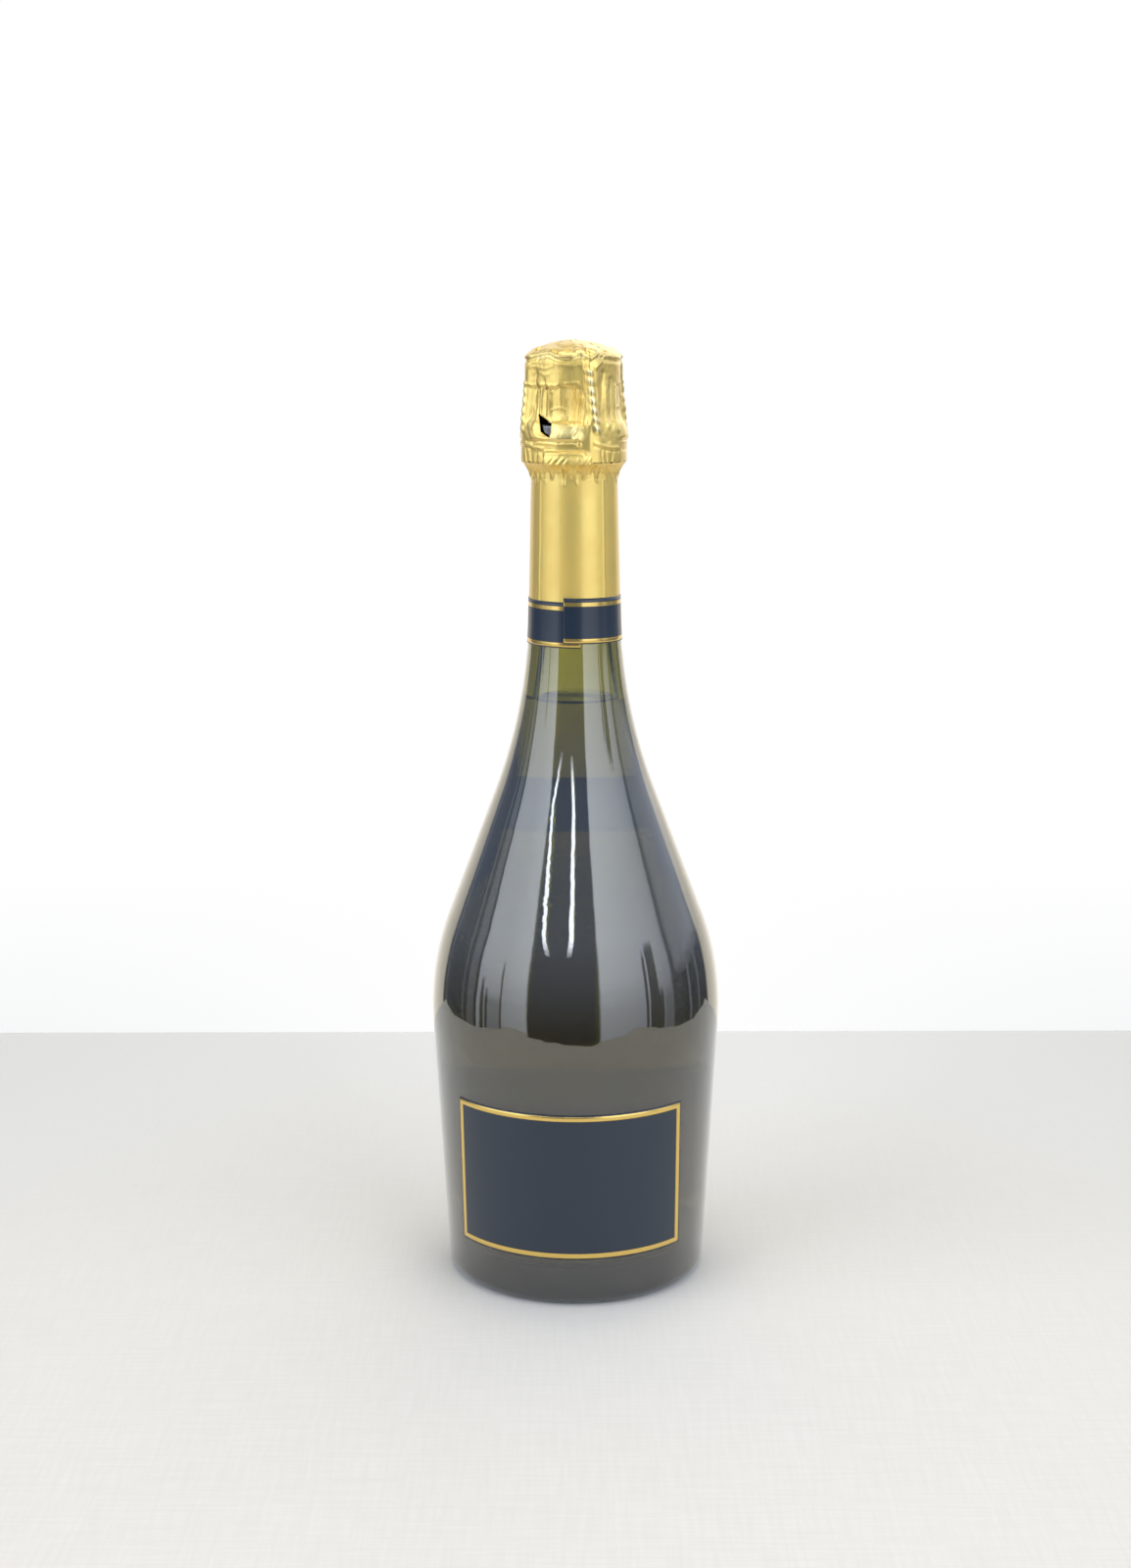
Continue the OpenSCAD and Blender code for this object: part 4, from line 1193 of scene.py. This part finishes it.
    @cached_property
    def runs(self) -> list[float]:
        """Distance run along the outline between the legs, at each of its points."""
        low, runs = self.lines[0], [0.0]
        for a, b in zip(low, low[1:]):
            runs.append(runs[-1] + (Vector(b) - Vector(a)).length)
        return runs

    def on_line(self, line: Sequence[Point], run: float) -> Vector:
        """Reads radius and height off one of the outlines."""
        return Vector([read_off(run, self.runs, [p[i] for p in line]) for i in (0, 1)])

    def leg_off(self, azimuth: float) -> float:
        """Gives the angle from the nearest leg, in degrees."""
        step = 360 / self.cage.leg_count
        return (azimuth - self.cage.leg_azimuth + step / 2) % step - step / 2

    def legs(self, azimuth: float, run: float, radius: float, z: float) -> float:
        """Gives the height of the beads that the twisted wires press into the foil."""
        # The beads at the front lean to the right on their way down
        lean = 0.36 * (z - 299.5) * window(azimuth, 2, 42, 12)
        across = math.radians(self.leg_off(azimuth + lean)) * radius / 1.6
        along = (run + 0.6 * across) / self.bead % 1 * 2 - 1
        round_off = max(0.0, 1 - across * across) ** 1.5 * (0.3 + 0.7 * math.cos(math.pi / 2 * along) ** 0.8)
        top = 308.0 if -25 < azimuth < 65 else 304.0
        return self.bead_rise * round_off * window(z, 288.5, top, 1.0)

    def relief(self, azimuth: float, z: float) -> float:
        """Gives how far the foil stands out from its outline between the legs.

        Args:
            azimuth: Azimuth of the point, from -180 to 180.
            z: Its height.

        Returns:
            The height of the relief in millimetres.
        """
        quarter = round((azimuth + 25) / 90)
        # Wavering lines look hand-pressed
        azimuth += 1.6 * ripple(azimuth / 8, z / 3.5, 5)
        z += 0.45 * ripple(azimuth / 11, z / 6, 6)
        local = azimuth - 90 * quarter
        if quarter == -1:
            local = -50 - local
        wander = 2.5 * ripple(azimuth / 25, z / 8, 3 + quarter % 4) if quarter else 0.0
        # To the right of the front leg the foil has broad folds only
        panel = ease(local, -34, -20) if quarter == 1 else 1.0
        rise = panel * sum(c.height_at(local + wander, z) for c in self.creases)
        if local < -20:
            rise += sum(c.height_at(local + wander + 90, z) for c in self.side_creases)
        # The foil is drawn in between the cork's head and the glass ring, and slopes out over the ring
        edge = read_off(z, (286, 292, 296, 300, 303.5), (-2, 8, 11, 9.5, 6))
        brow = z + 1.3 * ripple(azimuth / 7, 4)
        recess = ease(local, -68, -58) * (1 - ease(local, edge - 1.5, edge + 3))
        recess *= (1 - ease(brow, 302.3, 303.7)) * ease(z, 290.5, 297)
        slope = window(local, -52, 0, 12) * math.exp(-((z - 286.8) / 3.0) ** 2) * ease(z, 285.2, 286.0)
        rise += panel * (0.6 * slope - 0.4 * recess)
        if not quarter:
            vent = math.hypot((local + 34.5) * 0.29, z - 290.4)
            rise += (-0.15 - rise) * (1 - ease(vent, 2.4, 4.4))
        between = 1 - math.exp(-(self.leg_off(azimuth) / 7) ** 4)
        dents = 0.1 * ripple(azimuth / 12, z / 4.5, 1) + 0.045 * ripple(azimuth / 3.5, z / 1.3, 2)
        return rise + dents * (0.3 + 0.7 * between)

    def front_marks(self, azimuth: float, z: float) -> float:
        """Gives the relief of the key's twisted root, its loop and its eye under the foil."""
        k = self.cage
        arm = math.radians(azimuth) * self.rim_r
        rope = window(azimuth, k.key_from - 3, k.key_root_to + 1, 2)
        along = (arm - 1.1 * (z - k.belt[1])) / 2.1 % 1 * 2 - 1
        up = (z - k.belt[1] + 1.3) / 1.35
        rise = 0.5 * rope * math.sqrt(max(0.0, 1 - up * up) * max(0.0, 1 - along * along))
        eye = math.hypot(arm - math.radians(k.key_to - 0.5) * self.rim_r, z - 284.4)
        return rise + 0.25 * math.exp(-((eye - 0.75) / 0.22) ** 2)

    def over_loop(self, azimuth: float, z: float) -> float:
        """Gives the least radius that the foil has where it lies over the wires of the key's loop."""
        loop_r, *heights = self.cage.loop
        if not self.cage.key_from - 3 < azimuth < self.cage.key_to + 1.5:
            return 0.0
        near = [h for h in heights if abs(z - h) < 0.6]
        return max((loop_r + 0.2 + math.sqrt(max(0.0, 0.3 - (z - h) ** 2)) for h in near), default=0.0)

    def crown_edge(self, azimuth: float, z: float) -> float:
        """Gives the folded edge where the foil lies over the top of the cork."""
        line = read_off(azimuth, *zip(*self.crown)) + 0.12 * ripple(azimuth / 3, 9)
        lip = 0.6 * ease(z, line - 0.15, line + 0.15) * (1 - ease(z, line + 0.6, line + 3.0))
        return lip - 0.3 * window(z, line - 1.1, line - 0.3, 0.4)

    @staticmethod
    def crumple(x: float, y: float) -> float:
        """Gives the small sharp folds on top of the crown."""
        folds = 1 - ease(abs(ripple(x / 4.6, y / 4.6, 7)), 0, 0.14)
        return 0.12 * ripple(x / 2.6, y / 2.6, 8) - 0.24 * folds

    def spot(self, across: float, up: float) -> Point:
        """Gives azimuth and run from the shares round and up, with columns closer at the front."""
        half, whole, wall = self.front_half, self.runs[-1], self.wall_rows_share
        back = (180 - half) / (180 - half + self.front_finer * half)
        azimuth = half + (360 - 2 * half) * across / back
        if across >= back:
            azimuth = half * (2 * (across - back) / (1 - back) - 1)
        run = whole - self.crown_run * (1 - up) / (1 - wall)
        if up < wall:
            run = up / wall * (whole - self.crown_run)
        return (azimuth + 180) % 360 - 180, run

    def rub_and_highlight(self, across: float, up: float) -> float:
        """Gives how much a wire has worn the foil at a point, from 0 to 1; the same share places the painted
        highlight.
        """
        azimuth, run = self.spot(across, up)
        at = self.on_line(self.lines[1], run)
        # Crown top, the front over the glass ring and the beads get the painted highlight, as well as the
        # wear of the wires
        crown = 0.3 * ease(at.y, 311.6, 312.6)
        ring = 0.4 * window(azimuth, -24, 2, 14) * window(at.y, 287.5, 289, 3)
        bead = self.legs(azimuth, run, max(at.x, 1.0), at.y) / self.bead_rise
        return max(crown, ring, min(1.0, 2.4 * max(0.0, bead - 0.4)))

    def place(self, across: float, up: float) -> Vector:
        """Places a point of the foil from its shares round and up."""
        azimuth, run = self.spot(across, up)
        whole = self.runs[-1]
        low, high = (self.on_line(line, run) for line in self.lines)
        # The foil falls off steeply left of a leg, and slowly to its right
        off = self.leg_off(azimuth)
        reach = self.fall_right if off > 0 else self.fall_left
        reach += 1.6 * (1 - ease(low.y, 286, 293)) + 0.9 * ripple(low.y / 3.5, azimuth / 90, 9)
        share = 1 / (1 + (off / reach) ** 4)
        if low.y < 283:
            root = window(azimuth, self.cage.key_from, self.cage.key_root_to + 3, 4)
            share = max(share, root * (1 - ease(low.y, 281.8, 283)))
        at = low.lerp(high, share)
        line = self.lines[0]
        ahead = self.on_line(line, min(whole, run + 0.2)) - self.on_line(line, max(0.0, run - 0.2))
        outwards = Vector((ahead.y, -ahead.x)).normalized()
        beads = self.legs(azimuth, run, max(at.x, 1.0), at.y)
        rise = self.relief(azimuth, at.y) * (1 - ease(at.y, 313, 316)) + self.crown_edge(azimuth, at.y)
        if at.y > 312:
            a = math.radians(azimuth)
            rise += self.crumple(at.x * math.sin(a), at.x * math.cos(a)) * ease(at.y, 312.4, 314.2)
        rise += self.front_marks(azimuth, at.y) + beads
        # The outline clears cork and cage by a little, and no valley may reach deeper than that
        at += outwards * max(rise, -0.2 - 0.7 * (1 - share) * window(at.y, 291, 311, 1))
        at.x = max(at.x, self.over_loop(azimuth, at.y), 0.0)
        at.y += tear(azimuth) * (1 - ease(at.y, self.rim_z, self.rim_z + 2.5))
        return around(at.x, min(at.y, self.top_z), azimuth)

    def build(self) -> None:
        """Builds the hood and cuts the small vent in its front."""
        bm = sheet(self.columns, self.rows, self.place, joined=True)
        layer, uv = bm.verts.layers.float.new("rub_and_highlight"), bm.loops.layers.uv.active
        for vert in bm.verts:
            vert[layer] = self.rub_and_highlight(*vert.link_loops[0][uv].uv)
        self.cut_vent(bm)
        fit("foil_hood_skin", bm, GoldFoil(), Body.HOOD, Slot.FOIL, "foil_hood", 75, self.foil_t)

    def cut_vent(self, bm: bmesh.types.BMesh) -> None:
        """Cuts the slanted vent left of the key, and draws its rim straight."""
        corners = [Vector(p) * MM for p in self.vent]
        sides = list(zip(corners, corners[1:] + corners[:1]))

        def inside(at: Vector) -> bool:
            """Tells whether a point of the front lies in the vent."""
            flat = Vector((at.x, at.z))
            return at.y < 0 and all((b - a).cross(flat - a) < 0 for a, b in sides)

        cut = [f for f in bm.faces if inside(f.calc_center_median())]
        bmesh.ops.delete(bm, geom=cut, context="FACES")
        middle = sum(corners, Vector((0.0, 0.0))) / len(corners)
        for vert in bm.verts:
            flat = Vector((vert.co.x, vert.co.z))
            if vert.is_boundary and vert.co.y < 0 and (flat - middle).length < 5 * MM:
                near = min((closest(flat, a, b) for a, b in sides), key=lambda p: (p - flat).length)
                vert.co.x, vert.co.z = near


@dataclass(frozen=True)
class FoilSleeve:
    """The foil down the neck, flared to the torn edge under the hood."""

    glass: Glass
    low_z: float = 228.0
    flare_z: float = 273.3
    top_z: float = 278.5
    rim_r: float = 17.3
    foil_t: float = 0.15
    lay: float = 0.04
    pleat_depth: float = 1.5
    # Azimuth and height of the fine creases down the neck
    creases: tuple[Point, ...] = ((-51.0, 0.15), (41.0, 0.13), (171.0, 0.15))
    crease_half: float = 1.6
    columns: int = 360
    rows: int = 90

    def place(self, across: float, up: float) -> Vector:
        """Places a point of the sleeve from its shares round and up."""
        azimuth = 360 * across + 180
        # Two thirds of the rows lie in the pleated top
        z = self.low_z + (self.top_z - self.low_z) * (up * 2 if up < 0.4 else 0.8 + (up - 0.4) / 3)
        neck = self.glass.side_r(z) + self.lay + self.foil_t
        radius = neck
        if z > self.flare_z:
            radius = self.glass.side_r(self.flare_z) + self.lay + self.foil_t
            radius += (self.rim_r - radius) * (z - self.flare_z) / (self.top_z - self.flare_z)
        # Pointed pleats, where the foil is gathered under the ring
        wander = math.radians(azimuth + 6 * ripple(azimuth / 14, 2))
        tip = self.flare_z - 0.6 - 2.6 * max(0.0, ripple(azimuth / 9, 11)) ** 0.5
        folds = (abs(math.sin(wander * 12)) + 0.5 * abs(math.sin(wander * 21 + 2))) / 1.5
        lip = ease(z, tip, tip + 0.7) * (1 - ease(z, self.flare_z, self.flare_z + 2))
        radius += 0.45 * lip * (1 - folds) ** 2
        gathered = ease(z, self.flare_z - 0.5, self.flare_z + 2.2) * (1 - 0.85 * ease(z, 276.3, self.top_z))
        radius -= self.pleat_depth * gathered * folds
        for line, height in self.creases:
            off = ((azimuth - line + 180) % 360 - 180 + 1.2 * ripple(z / 8, line)) / self.crease_half
            radius += height * math.exp(-off * off)
        z += tear(azimuth) * ease(z, self.top_z - 2.5, self.top_z)
        return around(max(radius, neck), z, azimuth)

    def build(self) -> None:
        """Builds the sleeve."""
        bm = sheet(self.columns, self.rows, self.place, joined=True)
        finish = GoldFoil(name="smoothed_gold_foil", roughness=0.5)
        fit("foil_sleeve_skin", bm, finish, Body.BOTTLE, Slot.FOIL, "foil_sleeve", 75, self.foil_t)


@dataclass(frozen=True)
class Papers:
    """The collar and the three labels."""

    glass: Glass
    paper_t: float = 0.15
    lay: float = 0.04
    foil_t: float = 0.15
    collar_z: float = 219.7
    collar_w: float = 15.0
    collar_drop: float = 1.5
    collar_from: float = -13.5
    collar_lap: float = 20.5
    labels: tuple[tuple[str, float, float, float, float], ...] = (
        ("back_label", 17.3, 51.2, -3.8, 107.5),
        ("front_label", 14.5, 49.0, 180.0, 150.0),
        ("shoulder_label", 143.0, 22.0, 180.0, 130.0))

    def collar_place(self, across: float, up: float) -> Vector:
        """Places a point of the collar, which winds over its own first end."""
        turned = across * (360 + self.collar_lap)
        lift = (self.paper_t + self.lay) * (1 - ease(turned, self.collar_lap, 2 * self.collar_lap))
        z = self.collar_z - self.collar_drop * across + self.collar_w * up
        radius = self.glass.side_r(z) + self.foil_t + 2 * self.lay + lift + self.paper_t
        return around(radius, z, self.collar_from + turned)

    def build(self) -> None:
        """Builds the collar and the labels, each with its printed lines."""
        length = math.radians(360 + self.collar_lap) * self.glass.side_r(self.collar_z)
        stripes = PrintedPaper(name="collar_paper", width=length, height=self.collar_w, framed=False,
                               band=(1.35, 2.65), low_shift=0.95)
        band = sheet(300, 12, self.collar_place, (length, self.collar_w))
        sheets = [("collar_band", band, stripes, "collar")]
        for node, low, tall, middle, angle in self.labels:
            # On the body a label is a plain rectangle of paper, and on the shoulder it is cut to a fan
            width = math.radians(angle) * self.glass.side_r(low if low < 100 else low + tall / 2)
            paper = PrintedPaper(name=node + "_paper", width=width, height=tall)

            def label_place(across: float, up: float) -> Vector:
                """Places a point of the label on the glass."""
                z = low + tall * up
                radius = self.glass.side_r(z)
                part = math.degrees(width / radius) if low < 100 else angle
                return around(radius + self.lay + self.paper_t, z, middle + part * (across - 0.5))

            sheets.append((node + "_sheet", sheet(150, 40, label_place, (width, tall)), paper, node))
        for name, bm, paper, node in sheets:
            fit(name, bm, paper, Body.BOTTLE, Slot.PAPER, node, wall=self.paper_t)


# The studio


@dataclass(frozen=True)
class Studio:
    """Table, camera and the light of a white room with two tall windows behind the viewer."""

    table_x: float = 420.0
    table_back: float = 266.0
    table_front: float = 375.0
    camera_away: float = 782.0
    camera_z: float = 324.6
    pitch: float = 11.2
    yaw: float = 0.2
    roll: float = 0.185
    lens: float = 54.0
    window_light: float = 2.8
    ceiling_light: float = 0.3
    lamp_light: float = 4.0
    wall_light: float = 1.0
    strip_light: float = 8.5
    # Degrees up, or to a side, over which each kind of light begins
    ceiling_from: Point = (42.0, 52.0)
    lamp_from: Point = (72.0, 78.0)
    wall_from: Point = (131.0, 135.0)
    side_from: Point = (86.0, 92.0)
    tube_edge: Point = (1.6, 2.6)
    tube_end: Point = (36.0, 37.0)
    # Degrees up between which the room's soft light rises, and its level at both
    shade_rise: tuple[float, float, float, float] = (-12.0, 28.0, 0.19, 0.92)
    window_colour: str = "#e7edf9"
    ceiling_colour: str = "#fff8ea"
    shade_colour: str = "#a9b9d9"
    # Azimuth and level, as shares of the windows' light: the white wall behind the bottle, furniture at the
    # sides, the two windows, and the dark part of the room between them
    left_bands: tuple[Point, ...] = (
        (-180, 0.0), (-131, 0.0), (-128.5, 0.02), (-127.5, 0.2), (-126, 0.02), (-104, 0.02), (-102.5, 0.2),
        (-100, 0.02), (-97, 0.03), (-96, 0.2), (-89, 0.2), (-88, 0.02), (-86.5, 0.03), (-85, 0.75),
        (-61, 0.8), (-40, 0.95), (-38, 0.0), (0, 0.0))
    right_bands: tuple[Point, ...] = (
        (0, 0.0), (18.5, 0.0), (20.5, 0.95), (56, 0.75), (70, 0.65), (83, 0.5), (86, 0.06),
        (95, 0.06), (98, 0.02), (103, 0.02), (105, 0.35), (107, 0.02), (115, 0.02), (117, 0.25),
        (119, 0.02), (131, 0.0), (180, 0.0))
    # Azimuth, half width, top and darkness of things that stand before the windows
    pillars: tuple[tuple[float, float, float, float], ...] = (
        (-87.0, 1.0, 3.0, 0.9), (-80.5, 1.5, 0.0, 0.9), (-76.0, 1.2, -3.0, 0.9),
        (-72.0, 11.0, -4.0, 0.4), (-62.0, 0.8, 9.0, 0.9),
        (59.0, 1.2, 13.0, 0.9), (66.0, 4.2, 15.0, 0.92), (72.0, 2.5, -2.0, 0.9), (79.5, 4.0, -3.0, 0.4))
    # Level of the walls beside the windows, over the dark furniture, at the left and at the right
    side_walls: Point = (0.03, 0.24)
    # How bright the windows are from 20 degrees below the eye to 40 above, as place and level
    window_rise: tuple[Point, ...] = ((0.0, 0.42), (0.28, 0.6), (0.5, 0.9), (0.8, 1.0), (1.0, 1.0))
    # Azimuth at 20 degrees up, lean in degrees for each degree up, and where each tube of light starts
    tubes: tuple[tuple[float, float, float], ...] = ((-24.0, -1.2, 19.5), (-6.5, 0.45, 20.5))

    def build(self) -> None:
        """Builds the table, the light and the camera."""
        self.table()
        self.light()
        self.camera()

    def table(self) -> None:
        """Builds the table that the bottle stands on."""
        bm = bmesh.new()
        bmesh.ops.create_grid(bm, x_segments=1, y_segments=1, size=1.0)
        for vert in bm.verts:
            vert.co.x *= self.table_x * MM
            vert.co.y = (self.table_back if vert.co.y > 0 else -self.table_front) * MM
            vert.co.z = 0.0
        finished("table_top", bm, TableTop())

    def light(self) -> None:
        """Lights the scene from the room, and shows plain white behind the bottle."""
        world = bpy.data.worlds.new("studio")
        bpy.context.scene.world = world
        world.use_nodes = True
        world.node_tree.nodes.clear()
        add = partial(add_node, world.node_tree)
        x, y, z = add("SeparateXYZ", (add("TexCoord").outputs["Generated"],)).outputs
        flat = add("Math", (x, add("Math", (y, -1.0), operation="MULTIPLY")), operation="ARCTAN2")
        azimuth = add("Math", (flat,), operation="DEGREES")
        height = add("Math", (add("Math", (z,), operation="ARCSINE"),), operation="DEGREES")
        wide = add("Math", (azimuth,), operation="ABSOLUTE")
        right = add("Math", (azimuth, 0.0), operation="GREATER_THAN")
        # The ceiling closes the room, and the windows grow brighter towards their tops
        ceiling = add("MapRange", (height, *self.ceiling_from, 0, 1))
        below = add("Math", (1.0, ceiling), operation="SUBTRACT")
        halves = []
        left = add("Math", (azimuth, 0.0), operation="LESS_THAN")
        for start, bands, here in ((-180, self.left_bands, left), (0, self.right_bands, right)):
            ramp = add("ValToRGB", (add("MapRange", (azimuth, start, start + 180, 0, 1)),),
                       stops=[((a - start) / 180, level) for a, level in bands])
            halves.append(add("Math", (ramp, here), operation="MULTIPLY"))
        rise = add("ValToRGB", (add("MapRange", (height, -20, 40, 0, 1)),), stops=self.window_rise)
        room = add("Math", (add("Math", halves, operation="ADD"), rise), operation="MULTIPLY")
        room = add("Math", (room, self.window_light), operation="MULTIPLY")
        for place, half, top, dark in self.pillars:
            off = add("Math", (add("Math", (azimuth, place), operation="SUBTRACT"),), operation="ABSOLUTE")
            pillar = add("Math", (add("MapRange", (off, half - 0.5, half + 0.5, dark, 0)),
                                  add("MapRange", (height, top, top + 4, 1, 0))), operation="MULTIPLY")
            room = add("Math", (room, add("Math", (1.0, pillar), operation="SUBTRACT")), operation="MULTIPLY")
        above = add("MapRange", (height, -1, 5, 0, self.window_light))
        aside = add("Math", (above, add("MapRange", (wide, *self.side_from, 0, 1))), operation="MULTIPLY")
        level = add("MapRange", (right, 0, 1, *self.side_walls))
        room = add("Math", (room, add("Math", (aside, level), operation="MULTIPLY")), operation="MAXIMUM")
        for start, lean, low in self.tubes:
            line = add("Math", (height, lean, start - 20.0 * lean), operation="MULTIPLY_ADD")
            off = add("Math", (add("Math", (azimuth, line), operation="SUBTRACT"),), operation="ABSOLUTE")
            lit = add("MapRange", (height, low, low + 6, 0, 1))
            tube = add("Math", (lit, add("MapRange", (off, *self.tube_edge, 1, 0))), operation="MULTIPLY")
            strength = add("MapRange", (height, *self.tube_end, self.strip_light, 0))
            tube = add("Math", (tube, strength), operation="MULTIPLY")
            room = add("Math", (room, tube), operation="MAXIMUM")
        room = add("Math", (room, below), operation="MULTIPLY")
        wall = add("MapRange", (wide, *self.wall_from, 0, self.wall_light))
        wall = add("Math", (wall, below), operation="MULTIPLY")
        shade = add("MapRange", (height, *self.shade_rise))
        shade = add("Math", (shade, below), operation="MULTIPLY")
        shade = add("Math", (shade, add("MapRange", (wall, 0, 1, 1, 0))), operation="MULTIPLY")
        lamp = add("MapRange", (height, *self.lamp_from, 0, self.lamp_light))
        over = add("Math", (ceiling, self.ceiling_light, lamp), operation="MULTIPLY_ADD")
        over = add("Math", (over, wall), operation="ADD")
        light: Any = (0.0, 0.0, 0.0)
        for colour, strength in ((self.window_colour, room), (self.shade_colour, shade),
                                 (self.ceiling_colour, over)):
            part = add("VectorMath", {0: linear(colour)[:3], "Scale": strength}, operation="SCALE")
            light = add("VectorMath", (light, part), operation="ADD")
        # Behind the table the wall is white, with painted shade making it a little greyer at its foot on both
        # sides
        beside = add("MapRange", (add("Math", (x,), operation="ABSOLUTE"), 0.04, 0.22, 0, 1))
        foot = add("Math", (beside, add("MapRange", (height, -18.5, -13, 1, 0))), operation="MULTIPLY")
        shown = add("ValToRGB", (foot,), stops=[(0.0, "#ffffff"), (1.0, "#f3f4f5")])
        camera = add("LightPath").outputs["Is Camera Ray"]
        both = add("MixShader", (camera, add("Background", (light, 1.0)), add("Background", (shown, 1.0))))
        add("OutputWorld", {"Surface": both})

    def camera(self) -> None:
        """Sets the camera where the photograph was taken from."""
        data = bpy.data.cameras.new("camera")
        data.lens, data.sensor_width = self.lens, 36.0
        data.clip_start, data.clip_end = 0.01, 20.0
        camera = bpy.data.objects.new("camera", data)
        bpy.context.scene.collection.objects.link(camera)
        camera.location = Vector((0.0, -self.camera_away, self.camera_z)) * MM
        camera.rotation_euler = (math.radians(90 - self.pitch), math.radians(self.roll),
                                 math.radians(self.yaw))
        bpy.context.scene.camera = camera


def main() -> None:
    """Builds the studio and every piece of the bottle."""
    logging.basicConfig(level=logging.INFO, format="%(message)s")
    bpy.context.scene.view_settings.view_transform = "Standard"
    Studio().build()
    glass = Glass()
    cork = Cork(glass)
    cage = Cage(glass, cork)
    hood = FoilHood(glass, cork, cage)
    for part in (glass, Filling(glass), cork, cage, hood, FoilSleeve(glass), Papers(glass)):
        part.build()


if __name__ == "__main__":
    main()
